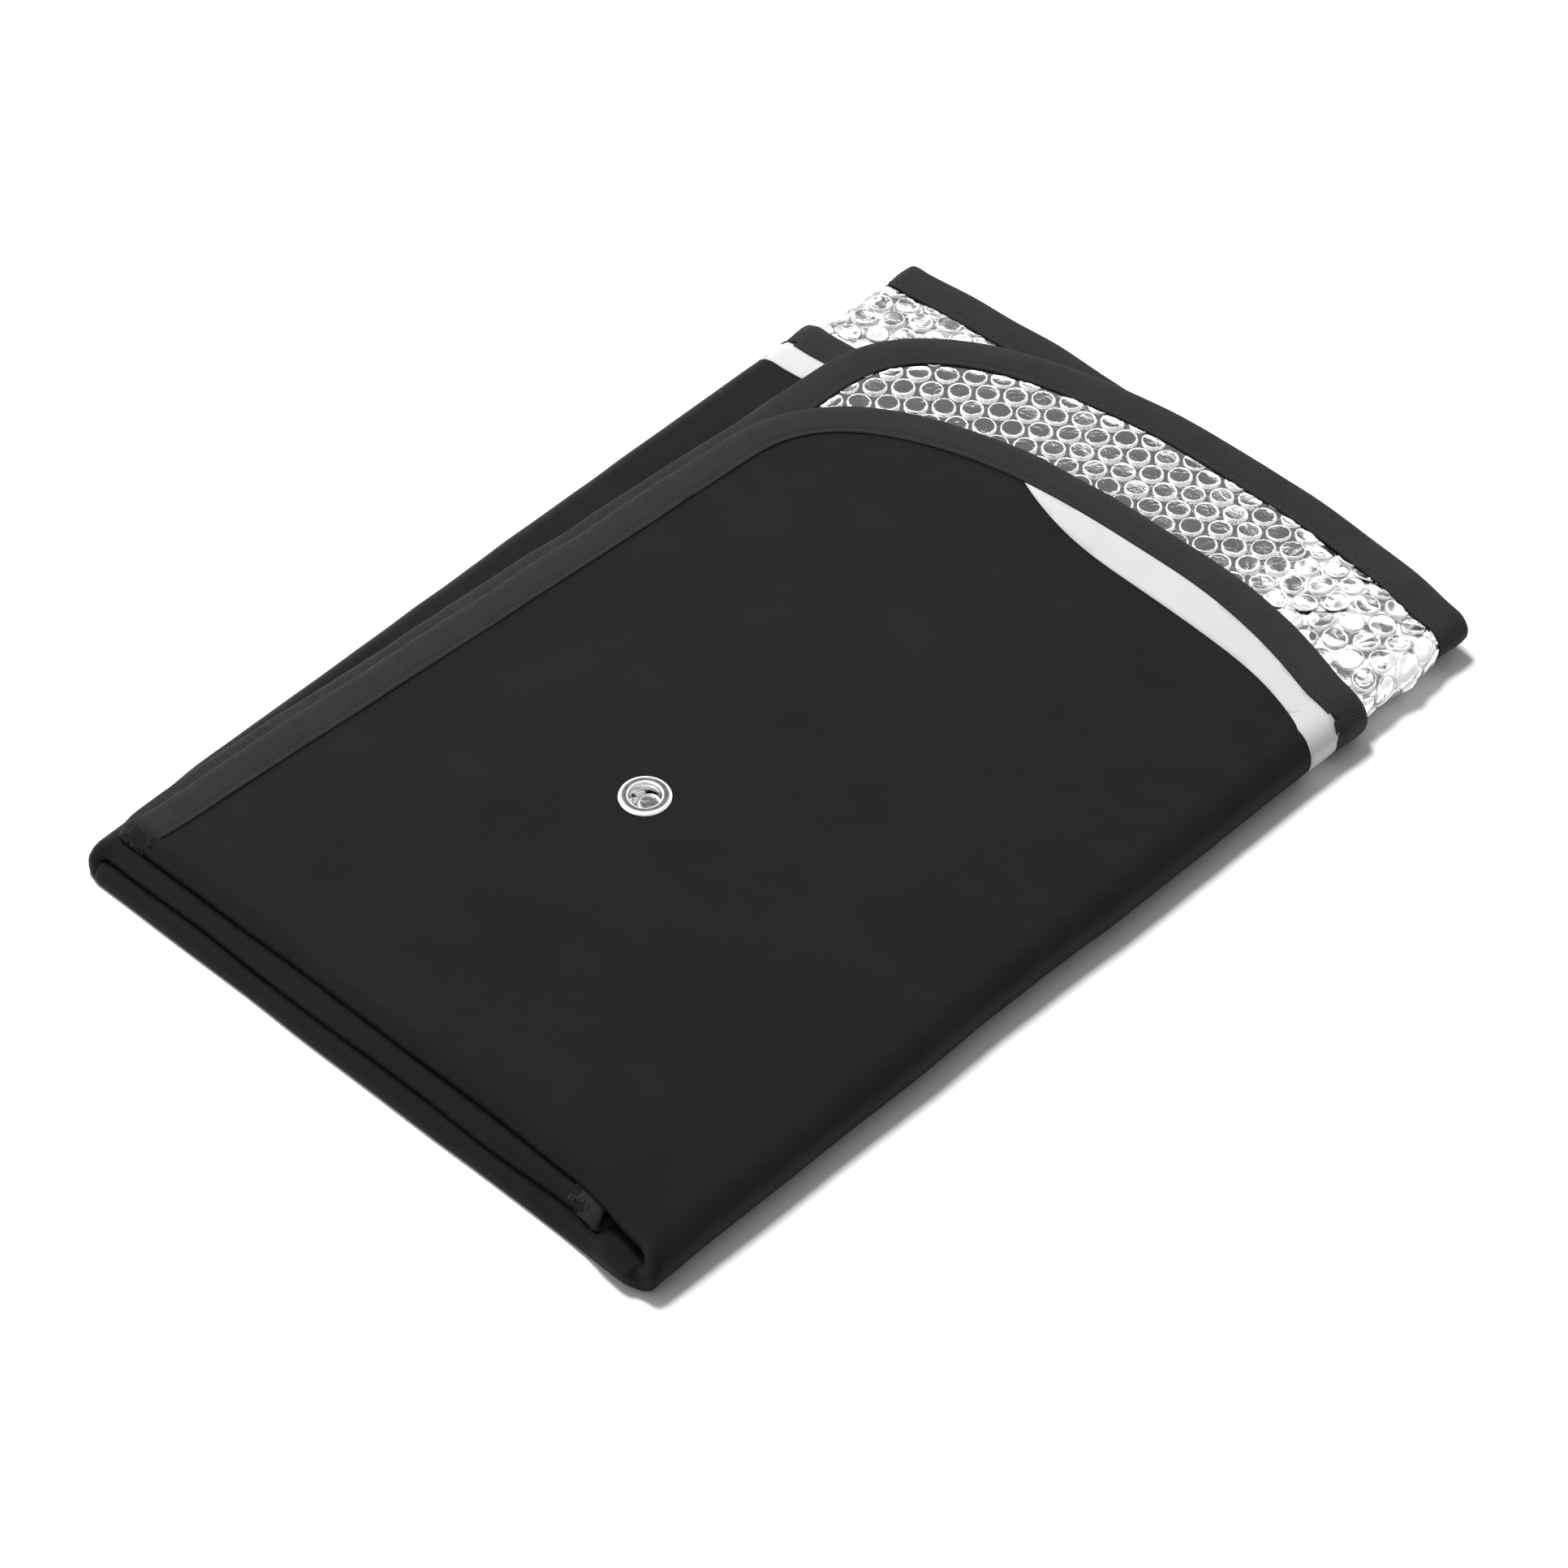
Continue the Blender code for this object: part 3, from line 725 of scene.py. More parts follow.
def makeTapeMaterial():
    material, tree, shader = newMaterial("blackRibbedTape", tapeLook["dark"], 0.8)
    flat = flatVector(tree)
    perMetre = 2 * math.pi / tapeLook["ribs"]
    weave = useGroup(tree, weaveGroup, flat, Across=perMetre, Along=perMetre * 0.9)
    clouds = useGroup(tree, patchGroup, flat, Scale=90.0, Low=0.72, High=0.90)
    # colour follows the rib height: painted highlight on the crests and painted shade in the hollows between the ribs
    colour = mixColours(tree, weave.outputs["Height"], tapeLook["dark"], tapeLook["light"])
    link(tree, colour, shader.inputs["Base Color"])
    link(tree, clouds.outputs["Value"], shader.inputs["Roughness"])
    link(tree, bumpFrom(tree, weave.outputs["Height"], 0.8, 0.00028), shader.inputs["Normal"])
    shader.inputs["Specular IOR Level"].default_value = 0.15
    shader.inputs["Sheen Weight"].default_value = 0.05
    return material


foilLook = {
    "colour": (0.88, 0.89, 0.90),
    "roughness": 0.13,
    "wornWithin": (0.195, 0.250),  # wholly worn up to here from the middle, and not at all past there
    "wornRoughness": 0.10,
    "wornFacets": 0.9,
}


def makeFoilMaterial():
    material, tree, shader = newMaterial("metallisedFilm", foilLook["colour"], foilLook["roughness"], 1.0)
    flat = flatVector(tree)
    creases = useGroup(tree, creaseGroup, flat, Scale=130.0, Bend=0.012, Width=0.10)
    fineCreases = useGroup(tree, creaseGroup, flat, Scale=420.0, Bend=0.004, Width=0.2)
    clouds = useGroup(tree, patchGroup, flat, Scale=150.0, Low=0.06, High=0.16)
    # the film beside the side folds is scuffed dull
    parts = addNode(tree, "ShaderNodeSeparateXYZ")
    link(tree, flat, parts.inputs[0])
    worn = addNode(tree, "ShaderNodeMapRange", interpolation_type="SMOOTHSTEP", clamp=True)
    link(tree, mathNode(tree, "ABSOLUTE", parts.outputs[0]), worn.inputs["Value"])
    wornFrom, wornTo = foilLook["wornWithin"]
    for name, value in {"From Min": wornFrom, "From Max": wornTo, "To Min": 1.0, "To Max": 0.0}.items():
        worn.inputs[name].default_value = value
    scuffed = mathNode(tree, "MULTIPLY", worn.outputs["Result"], foilLook["wornRoughness"])
    link(tree, mathNode(tree, "ADD", clouds.outputs["Value"], scuffed), shader.inputs["Roughness"])
    crushed = useGroup(tree, creaseGroup, flat, Scale=48.0, Bend=0.03, Width=0.3)
    waves = useGroup(tree, patchGroup, flat, Scale=260.0, Low=0.0, High=1.0)
    fine = bumpFrom(tree, fineCreases.outputs["Height"], 0.10, 0.0001)
    soft = bumpFrom(tree, waves.outputs["Value"], 0.16, 0.0008, fine)
    facets = bumpFrom(tree, crushed.outputs["Facet"], 1.0, 0.0060, soft)
    crushing = mathNode(tree, "MULTIPLY", worn.outputs["Result"], foilLook["wornFacets"])
    link(tree, crushing, facets.node.inputs["Strength"])
    link(tree, bumpFrom(tree, creases.outputs["Height"], 0.10, 0.0004, facets), shader.inputs["Normal"])
    return material


stripLook = {"dark": (0.425, 0.418, 0.422), "light": (0.462, 0.454, 0.459), "roughness": 0.42}


def makeStripMaterial():
    material, tree, shader = newMaterial("greyReflectiveTape", stripLook["light"], stripLook["roughness"])
    flat = flatVector(tree)
    clouds = useGroup(tree, patchGroup, flat, Scale=30.0, Low=0.0, High=1.0)
    creases = useGroup(tree, creaseGroup, flat, Scale=30.0, Bend=0.03, Width=0.06)
    colour = mixColours(tree, clouds.outputs["Value"], stripLook["dark"], stripLook["light"])
    link(tree, colour, shader.inputs["Base Color"])
    link(tree, bumpFrom(tree, creases.outputs["Facet"], 0.1, 0.002), shader.inputs["Normal"])
    return material


def makeThreadMaterial():
    material, tree, shader = newMaterial("blackSewingThread", (0.012, 0.012, 0.013), 0.6)
    place = addNode(tree, "ShaderNodeTexCoord").outputs["Object"]
    clouds = useGroup(tree, patchGroup, place, Scale=900.0, Low=0.45, High=0.8)
    link(tree, clouds.outputs["Value"], shader.inputs["Roughness"])
    return material


def makeNickelMaterial():
    material, tree, shader = newMaterial("brightNickel", (0.86, 0.86, 0.85), 0.16, 1.0)
    place = addNode(tree, "ShaderNodeTexCoord").outputs["Object"]
    clouds = useGroup(tree, patchGroup, place, Scale=500.0, Low=0.10, High=0.26)
    link(tree, clouds.outputs["Value"], shader.inputs["Roughness"])
    grain = useGroup(tree, patchGroup, place, Scale=1800.0, Low=0.0, High=1.0)
    link(tree, bumpFrom(tree, grain.outputs["Value"], 0.05, 0.0001), shader.inputs["Normal"])
    return material


fabricMaterial, tapeMaterial, foilMaterial = makeFabricMaterial(), makeTapeMaterial(), makeFoilMaterial()
stripMaterial, threadMaterial, nickelMaterial = makeStripMaterial(), makeThreadMaterial(), makeNickelMaterial()
print("materials made")


# The eyelet's place

eyeletLow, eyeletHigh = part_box("eyelet_grommet")
eyeletX, eyeletY = (eyeletLow.x + eyeletHigh.x) / 2, (eyeletLow.y + eyeletHigh.y) / 2
eyeletFlat = toFlat(np.array([[eyeletX, eyeletY]]), 1, 0)[0]
eyeletOnInner = toFlat(np.array([[eyeletX, eyeletY]]), 1, 1)[0]


# Fabric and film

sheets = {
    "fabric": (0.0004, 0.0009),  # the heights of its faces off the sheet's middle
    "film": (-0.0002, 0.0001),
    "fabricStep": 0.0045,
    "filmStep": 0.0075,
    "bandStep": 0.0026,
    "inset": 0.0012,
    "eyeletHole": 0.0067,
}
insetEdge = cutEdge + cutInwards * sheets["inset"]
# where the grids are finer: from, to, step
arcZones = [(leftX - leftArc - 0.002, leftX + 0.002, 0.0011), (foldFrom, foldTo, 0.0016)]
turnZone = (-turnLength - 0.0006, turnLength + 0.0006, 0.0008)


def sheetPolygon(right, rows):
    # the inset outline on one side of the seam, closed along the seam through the grid's rows
    run = splitAt(insetEdge, sideSeam, right)
    first, last = run[0][1], run[-1][1]
    between = rows[(rows > min(first, last) + 0.0008) & (rows < max(first, last) - 0.0008)]
    if last > first:
        between = between[::-1]
    return np.concatenate((run, np.column_stack((np.full(len(between), sideSeam), between))))


def bandMask(points):
    # where the film shows past the outer half, and the spot that shows through the eyelet
    s, v = points.T
    shownFrom = outerEndY - folding["frontY"] - 0.024
    band = v > shownFrom
    corner = (s > rightX + rightArc + 0.10) & (v > shownFrom - 0.10) & (s < 0.44)
    spot = np.hypot(s - eyeletOnInner[0], v - eyeletOnInner[1]) < 0.019
    return band | corner | spot


def makeFabric(right):
    columns = linesBetween(cutEdge[:, 0].min(), cutEdge[:, 0].max(), sheets["fabricStep"], arcZones)
    rows = linesBetween(cutEdge[:, 1].min(), cutEdge[:, 1].max(), sheets["fabricStep"], [turnZone])
    columns = columns[columns > sideSeam] if right else columns[columns < sideSeam]
    polygon = sheetPolygon(right, rows)
    holes = [(eyeletFlat, sheets["eyeletHole"])] if right else []
    vertices, faces = cutSheet(polygon, gridPoints(columns, rows), holes=holes)
    obj = thickSheet("fabric_right" if right else "fabric_left", vertices, faces, *sheets["fabric"])
    obj.data.materials.append(fabricMaterial)
    return foldPiece(obj), polygon


bubbles = {
    "Pitch": 0.0108,
    "Radius": 0.0050,
    "Height": 0.0014,
    "Lattice Angle": math.radians(21),
    "Unevenness": 0.12,
    "Seed": 7,
}


def makeBubbleTree():
    # adds a staggered field of bubbles over the faces marked as bubbled, and joins them to the sheet
    tree, start, end = newTree(
        "bubbleField",
        "GeometryNodeTree",
        [
            ("Geometry", "NodeSocketGeometry", None),
            ("Pitch", "NodeSocketFloat", 0.0108),
            ("Radius", "NodeSocketFloat", 0.005),
            ("Height", "NodeSocketFloat", 0.0014),
            ("Lattice Angle", "NodeSocketFloat", 0.0),
            ("Unevenness", "NodeSocketFloat", 0.1),
            ("Seed", "NodeSocketInt", 0),
            ("Material", "NodeSocketMaterial", None),
        ],
        [("Geometry", "NodeSocketGeometry")],
    )
    get = start.outputs
    grid = addNode(tree, "GeometryNodeMeshGrid")
    grid.inputs["Vertices X"].default_value = 140
    grid.inputs["Vertices Y"].default_value = 160
    link(tree, mathNode(tree, "MULTIPLY", get["Pitch"], 139), grid.inputs["Size X"])
    rowStep = mathNode(tree, "MULTIPLY", get["Pitch"], math.sqrt(3) / 2)
    link(tree, mathNode(tree, "MULTIPLY", rowStep, 159), grid.inputs["Size Y"])
    place = addNode(tree, "GeometryNodeInputPosition")
    parts = addNode(tree, "ShaderNodeSeparateXYZ")
    link(tree, place.outputs[0], parts.inputs[0])
    rowNumber = mathNode(tree, "ROUND", mathNode(tree, "ADD", mathNode(tree, "DIVIDE", parts.outputs[1], rowStep), 0.5))
    halfPitch = mathNode(tree, "MULTIPLY", get["Pitch"], 0.5)
    stagger = mathNode(tree, "MULTIPLY", mathNode(tree, "PINGPONG", rowNumber, 1), halfPitch)
    shift = addNode(tree, "ShaderNodeCombineXYZ")
    link(tree, stagger, shift.inputs[0])
    staggered = addNode(tree, "GeometryNodeSetPosition")
    link(tree, grid.outputs["Mesh"], staggered.inputs["Geometry"])
    link(tree, shift.outputs[0], staggered.inputs["Offset"])
    turned = addNode(tree, "GeometryNodeTransform")
    link(tree, staggered.outputs[0], turned.inputs["Geometry"])
    turn = addNode(tree, "ShaderNodeCombineXYZ")
    link(tree, get["Lattice Angle"], turn.inputs[2])
    link(tree, turn.outputs[0], turned.inputs["Rotation"])
    turned.inputs["Translation"].default_value = (0, 0, sheets["film"][0])
    # only where the sheet is marked
    marked = addNode(tree, "GeometryNodeInputNamedAttribute", data_type="FLOAT")
    marked.inputs["Name"].default_value = "bubbled"
    patch = addNode(tree, "GeometryNodeSeparateGeometry", domain="FACE")
    link(tree, get["Geometry"], patch.inputs["Geometry"])
    link(tree, mathNode(tree, "GREATER_THAN", marked.outputs["Attribute"], 0.5), patch.inputs["Selection"])
    near = addNode(tree, "GeometryNodeProximity")
    link(tree, patch.outputs["Selection"], near.inputs[0])
    off = addNode(tree, "GeometryNodeDeleteGeometry", domain="POINT")
    link(tree, turned.outputs[0], off.inputs["Geometry"])
    link(tree, mathNode(tree, "GREATER_THAN", near.outputs["Distance"], 0.0004), off.inputs["Selection"])
    # one bubble: a dome with a flat top and steep sides
    ball = addNode(tree, "GeometryNodeMeshUVSphere")
    ball.inputs["Segments"].default_value = 14
    ball.inputs["Rings"].default_value = 8
    ballPlace = addNode(tree, "GeometryNodeInputPosition")
    ballParts = addNode(tree, "ShaderNodeSeparateXYZ")
    link(tree, ballPlace.outputs[0], ballParts.inputs[0])
    lower = addNode(tree, "GeometryNodeDeleteGeometry", domain="POINT")
    link(tree, ball.outputs["Mesh"], lower.inputs["Geometry"])
    link(tree, mathNode(tree, "LESS_THAN", ballParts.outputs[2], -0.1), lower.inputs["Selection"])
    squares = [mathNode(tree, "MULTIPLY", ballParts.outputs[axis], ballParts.outputs[axis]) for axis in (0, 1)]
    flatLength = mathNode(tree, "SQRT", mathNode(tree, "ADD", *squares))
    widen = mathNode(tree, "POWER", mathNode(tree, "MAXIMUM", flatLength, 0.01), -0.6)
    wall = mathNode(tree, "POWER", mathNode(tree, "MAXIMUM", ballParts.outputs[2], 0), 0.42)
    dish = mathNode(tree, "MULTIPLY", mathNode(tree, "SUBTRACT", 1.0, flatLength), 0.16)
    bowl = mathNode(tree, "MAXIMUM", mathNode(tree, "SUBTRACT", wall, dish), 0)
    shaped = addNode(tree, "ShaderNodeCombineXYZ")
    link(tree, mathNode(tree, "MULTIPLY", ballParts.outputs[0], widen), shaped.inputs[0])
    link(tree, mathNode(tree, "MULTIPLY", ballParts.outputs[1], widen), shaped.inputs[1])
    link(tree, bowl, shaped.inputs[2])
    dome = addNode(tree, "GeometryNodeSetPosition")
    link(tree, lower.outputs[0], dome.inputs["Geometry"])
    link(tree, shaped.outputs[0], dome.inputs["Position"])
    size = addNode(tree, "ShaderNodeCombineXYZ")
    link(tree, get["Radius"], size.inputs[0])
    link(tree, get["Radius"], size.inputs[1])
    link(tree, get["Height"], size.inputs[2])
    floorDisc = addNode(tree, "GeometryNodeMeshCircle", fill_type="NGON")
    floorDisc.inputs["Vertices"].default_value = 14
    faceDown = addNode(tree, "GeometryNodeFlipFaces")
    link(tree, floorDisc.outputs["Mesh"], faceDown.inputs["Mesh"])
    halves = addNode(tree, "GeometryNodeJoinGeometry")
    link(tree, dome.outputs[0], halves.inputs[0])
    link(tree, faceDown.outputs[0], halves.inputs[0])
    closed = addNode(tree, "GeometryNodeMergeByDistance")
    link(tree, halves.outputs[0], closed.inputs["Geometry"])
    sized = addNode(tree, "GeometryNodeTransform")
    link(tree, closed.outputs[0], sized.inputs["Geometry"])
    link(tree, size.outputs[0], sized.inputs["Scale"])
    sized.inputs["Rotation"].default_value = (math.pi, 0, 0)
    sized.inputs["Translation"].default_value = (0, 0, 0.0001)
    spread = addNode(tree, "FunctionNodeRandomValue", data_type="FLOAT_VECTOR")
    low = addNode(tree, "ShaderNodeCombineXYZ")
    high = addNode(tree, "ShaderNodeCombineXYZ")
    narrow = mathNode(tree, "SUBTRACT", 1.0, mathNode(tree, "MULTIPLY", get["Unevenness"], 0.4))
    link(tree, narrow, low.inputs[0])
    link(tree, narrow, low.inputs[1])
    link(tree, mathNode(tree, "SUBTRACT", 1.0, mathNode(tree, "MULTIPLY", get["Unevenness"], 2.5)), low.inputs[2])
    high.inputs[0].default_value = high.inputs[1].default_value = 1.0
    link(tree, mathNode(tree, "ADD", 1.0, get["Unevenness"]), high.inputs[2])
    link(tree, low.outputs[0], spread.inputs[0])
    link(tree, high.outputs[0], spread.inputs[1])
    link(tree, get["Seed"], spread.inputs["Seed"])
    lean = addNode(tree, "FunctionNodeRandomValue", data_type="FLOAT_VECTOR")
    lean.inputs[0].default_value = (-0.07, -0.07, -3.1)
    lean.inputs[1].default_value = (0.07, 0.07, 3.1)
    link(tree, mathNode(tree, "ADD", get["Seed"], 1), lean.inputs["Seed"])
    copies = addNode(tree, "GeometryNodeInstanceOnPoints")
    link(tree, off.outputs[0], copies.inputs["Points"])
    link(tree, sized.outputs[0], copies.inputs["Instance"])
    link(tree, spread.outputs[0], copies.inputs["Scale"])
    link(tree, lean.outputs[0], copies.inputs["Rotation"])
    joined = addNode(tree, "GeometryNodeJoinGeometry")
    link(tree, copies.outputs[0], joined.inputs[0])
    link(tree, get["Geometry"], joined.inputs[0])
    real = addNode(tree, "GeometryNodeRealizeInstances")
    link(tree, joined.outputs[0], real.inputs[0])
    even = addNode(tree, "GeometryNodeSetShadeSmooth")
    link(tree, real.outputs[0], even.inputs["Geometry"])
    painted = addNode(tree, "GeometryNodeSetMaterial")
    link(tree, even.outputs[0], painted.inputs["Geometry"])
    link(tree, get["Material"], painted.inputs["Material"])
    link(tree, painted.outputs[0], end.inputs["Geometry"])
    return tree


crumple = {"height": 0.0026, "from": 0.050, "to": 0.110, "everywhere": 0.05}


def crumpleFilm(obj):
    # crushes the shown film in the flat, hardest where the right fold has bent it
    mesh = obj.data
    flat = np.empty(len(mesh.vertices) * 3)
    mesh.vertices.foreach_get("co", flat)
    flat = flat.reshape(-1, 3)
    s, v, k = flat.T
    room = nearestGap(flat[:, :2], cutEdge)
    # the tape presses the bubbles flat along its inner edge
    web = sheets["film"][0]
    raised = k < web
    k[raised] = web + (k[raised] - web) * (0.02 + 0.98 * smooth((room[raised] - 0.0146) / 0.0035))
    shown = smooth((v - (outerEndY - folding["frontY"]) + 0.022) / 0.012) * smooth((room - 0.0150) / 0.006)
    across = np.where(s > rightX + rightArc / 2, rightX - (s - rightX - rightArc), s)
    across = np.where(s < leftX - leftArc / 2, leftX + (leftX - leftArc - s), across)
    hard = np.where(s > rightX, smooth((across - crumple["from"]) / (crumple["to"] - crumple["from"])), 0.12)
    amount = crumple["everywhere"] + (1 - crumple["everywhere"]) * hard
    crests = ridgeNoise(s, v, 0.024, 21) ** 3 * 0.9 + ridgeNoise(v, s, 0.011, 24) ** 3 * 0.30
    k -= shown * amount * crumple["height"] * crests
    s += shown * amount * 0.0012 * (softNoise(s, v, 0.008, 27) - 0.5)
    v += shown * amount * 0.0012 * (softNoise(s, v, 0.008, 28) - 0.5)
    mesh.vertices.foreach_set("co", np.stack((s, v, k), 1).ravel())


def makeFilm(right, tree):
    bandFrom = outerEndY - folding["frontY"] - 0.03
    columns = linesBetween(cutEdge[:, 0].min(), cutEdge[:, 0].max(), sheets["bandStep"], arcZones)
    rowZones = [turnZone, (bandFrom, 0.5, sheets["bandStep"])]
    rows = linesBetween(cutEdge[:, 1].min(), cutEdge[:, 1].max(), sheets["filmStep"], rowZones)
    columns = columns[columns > sideSeam] if right else columns[columns < sideSeam]
    polygon = sheetPolygon(right, rows)
    inArc = np.any([(columns > low - 1e-6) & (columns < high + 1e-6) for low, high, _ in arcZones], axis=0)
    thin = inArc | (np.arange(len(columns)) % 3 == 0)  # fine columns only where the film shows
    lattice = np.concatenate((gridPoints(columns[thin], rows[rows < bandFrom]), gridPoints(columns, rows[rows >= bandFrom])))
    holes = [(eyeletFlat, sheets["eyeletHole"])] if right else []
    obj = thickSheet("film_right" if right else "film_left", *cutSheet(polygon, lattice, holes=holes), *sheets["film"])
    mesh = obj.data
    centres = np.empty(len(mesh.polygons) * 3)
    mesh.polygons.foreach_get("center", centres)
    centres = centres.reshape(-1, 3)[:, :2]
    room = nearestGap(centres, evenly(cutEdge, 0.002))
    marks = bandMask(centres) & (room > 0.0115)
    mesh.attributes.new("bubbled", "FLOAT", "FACE").data.foreach_set("value", marks.astype(np.float32))
    runTree(obj, tree, {**bubbles, "Material": foilMaterial})
    if "bubbled" in obj.data.attributes:
        obj.data.attributes.remove(obj.data.attributes["bubbled"])
    crumpleFilm(obj)
    return foldPiece(obj)


# Binding tape with its stitches

tape = {
    "width": 0.015,
    "thickness": 0.0004,
    "stitchInset": 0.0126,  # from the cut edge
    "unevenness": 0.0005,
    # one face's line from the inner edge round to the cut edge: distance in, height off the middle
    "profile": (
        (0.0150, 0.00138), (0.0141, 0.00146), (0.0134, 0.00140), (0.0127, 0.00110), (0.0120, 0.00134),
        (0.0108, 0.00148), (0.0085, 0.00156), (0.0060, 0.00160), (0.0035, 0.00160), (0.0018, 0.00146),
        (0.0008, 0.00116), (0.0002, 0.00066),
    ),
    "filmSide": 0.62,  # the film gives way, so that face's inner edge lies lower
}


def tapeSection():
    # the closed section of the folded tape: its outer line round both faces, then its inner line back
    fabricSide, filmSide = list(tape["profile"]), []
    for d, k in tape["profile"]:
        sink = smooth((d - 0.006) / 0.009) * (1 - tape["filmSide"])
        filmSide.append((d, -k * (1 - float(sink))))
    outer = np.array(fabricSide + [(0.0, 0.0)] + filmSide[::-1])
    along = np.gradient(outer, axis=0)
    along /= np.linalg.norm(along, axis=1)[:, None]
    depth = tape["thickness"] * np.stack((-along[:, 1], along[:, 0]), 1)
    inner = outer - depth
    if inner[len(outer) // 2][0] < 0:
        inner = outer + depth
    inner[0] = outer[0][0], outer[0][1] - tape["thickness"]
    inner[-1] = outer[-1][0], outer[-1][1] + tape["thickness"]
    return outer, inner


def tapeRun(right):
    # the cut edge and its inward direction on one side of the seam
    both = np.column_stack((cutEdge, cutInwards))
    run = splitAt(both, sideSeam, right)
    run[:, 2:] /= np.linalg.norm(run[:, 2:], axis=1)[:, None]
    return run[:, :2], run[:, 2:]


def makeBinding(right):
    edge, way = tapeRun(right)
    outer, inner = tapeSection()
    section = np.concatenate((outer, inner[::-1]))
    walk = np.concatenate(([0], np.cumsum(np.linalg.norm(np.diff(edge, axis=0), axis=1))))
    count, size = len(edge), len(section)
    # seams fade the unevenness out so that the two parts meet
    fade = smooth(np.minimum(walk, walk[-1] - walk) / 0.01)
    wander = fade * tape["unevenness"] * 2 * (softNoise(walk, 0 * walk, 0.022, 31) - 0.5)
    swell = 1 + fade * 0.16 * (softNoise(walk, 0 * walk + 0.5, 0.013, 32) - 0.5)
    d = section[None, :, 0] + wander[:, None] * np.clip(1.15 - section[None, :, 0] / 0.013, 0.15, 1)
    k = section[None, :, 1] * np.repeat(swell[:, None], size, 1)
    s = edge[:, 0, None] + way[:, 0, None] * d
    v = edge[:, 1, None] + way[:, 1, None] * d
    points = np.stack((s, v, k), -1).reshape(-1, 3)
    around = np.concatenate(([0], np.cumsum(np.linalg.norm(np.diff(section, axis=0), axis=1))))
    uv = np.stack(np.broadcast_arrays(walk[:, None], around[None, :]), -1).reshape(-1, 2)
    faces = []
    for i in range(count - 1):
        a, b = i * size, (i + 1) * size
        faces += [[a + j, b + j, b + (j + 1) % size, a + (j + 1) % size] for j in range(size)]
    faces += [list(range(size))[::-1], [(count - 1) * size + j for j in range(size)]]
    # whichever way round the run goes, faces point out of the tape
    a, b, c = (points[faces[0][i]] for i in range(3))
    middle = np.append(edge[0] + way[0] * 0.004, 0)
    if np.dot(np.cross(b - a, c - a), a - middle) < 0:
        faces = [face[::-1] for face in faces]
    obj = newObject("binding_right" if right else "binding_left", points, faces, uv)
    obj.data.materials.append(tapeMaterial)
    return foldPiece(obj, keepUv=True)


stitching = {"Pitch": 0.0034, "Length": 0.0025, "Thickness": 0.00042, "Seed": 3}


def makeStitchTree():
    # lays a short thread at even steps along every line of the mesh
    tree, start, end = newTree(
        "stitchLine",
        "GeometryNodeTree",
        [
            ("Geometry", "NodeSocketGeometry", None),
            ("Pitch", "NodeSocketFloat", 0.0034),
            ("Length", "NodeSocketFloat", 0.0025),
            ("Thickness", "NodeSocketFloat", 0.0004),
            ("Seed", "NodeSocketInt", 0),
            ("Material", "NodeSocketMaterial", None),
        ],
        [("Geometry", "NodeSocketGeometry")],
    )
    get = start.outputs
    line = addNode(tree, "GeometryNodeMeshToCurve")
    link(tree, get["Geometry"], line.inputs[0])
    steps = addNode(tree, "GeometryNodeResampleCurve", mode="LENGTH")
    link(tree, line.outputs[0], steps.inputs["Curve"])
    link(tree, get["Pitch"], steps.inputs["Length"])
    thread = addNode(tree, "GeometryNodeMeshUVSphere")
    thread.inputs["Segments"].default_value = 6
    thread.inputs["Rings"].default_value = 5
    size = addNode(tree, "ShaderNodeCombineXYZ")
    link(tree, mathNode(tree, "MULTIPLY", get["Length"], 0.5), size.inputs[0])
    link(tree, mathNode(tree, "MULTIPLY", get["Thickness"], 0.6), size.inputs[1])
    link(tree, mathNode(tree, "MULTIPLY", get["Thickness"], 0.5), size.inputs[2])
    sized = addNode(tree, "GeometryNodeTransform")
    link(tree, thread.outputs["Mesh"], sized.inputs["Geometry"])
    link(tree, size.outputs[0], sized.inputs["Scale"])
    along = addNode(tree, "GeometryNodeInputTangent")
    align = addNode(tree, "FunctionNodeAlignRotationToVector", axis="X")
    link(tree, along.outputs[0], align.inputs["Vector"])
    vary = addNode(tree, "FunctionNodeRandomValue", data_type="FLOAT_VECTOR")
    vary.inputs[0].default_value = (0.82, 0.85, 0.9)
    vary.inputs[1].default_value = (1.05, 1.1, 1.1)
    link(tree, get["Seed"], vary.inputs["Seed"])
    copies = addNode(tree, "GeometryNodeInstanceOnPoints")
    link(tree, steps.outputs[0], copies.inputs["Points"])
    link(tree, sized.outputs[0], copies.inputs["Instance"])
    link(tree, align.outputs[0], copies.inputs["Rotation"])
    link(tree, vary.outputs[0], copies.inputs["Scale"])
    real = addNode(tree, "GeometryNodeRealizeInstances")
    link(tree, copies.outputs[0], real.inputs[0])
    even = addNode(tree, "GeometryNodeSetShadeSmooth")
    link(tree, real.outputs[0], even.inputs["Geometry"])
    painted = addNode(tree, "GeometryNodeSetMaterial")
    link(tree, even.outputs[0], painted.inputs["Geometry"])
    link(tree, get["Material"], painted.inputs["Material"])
    link(tree, painted.outputs[0], end.inputs["Geometry"])
    return tree


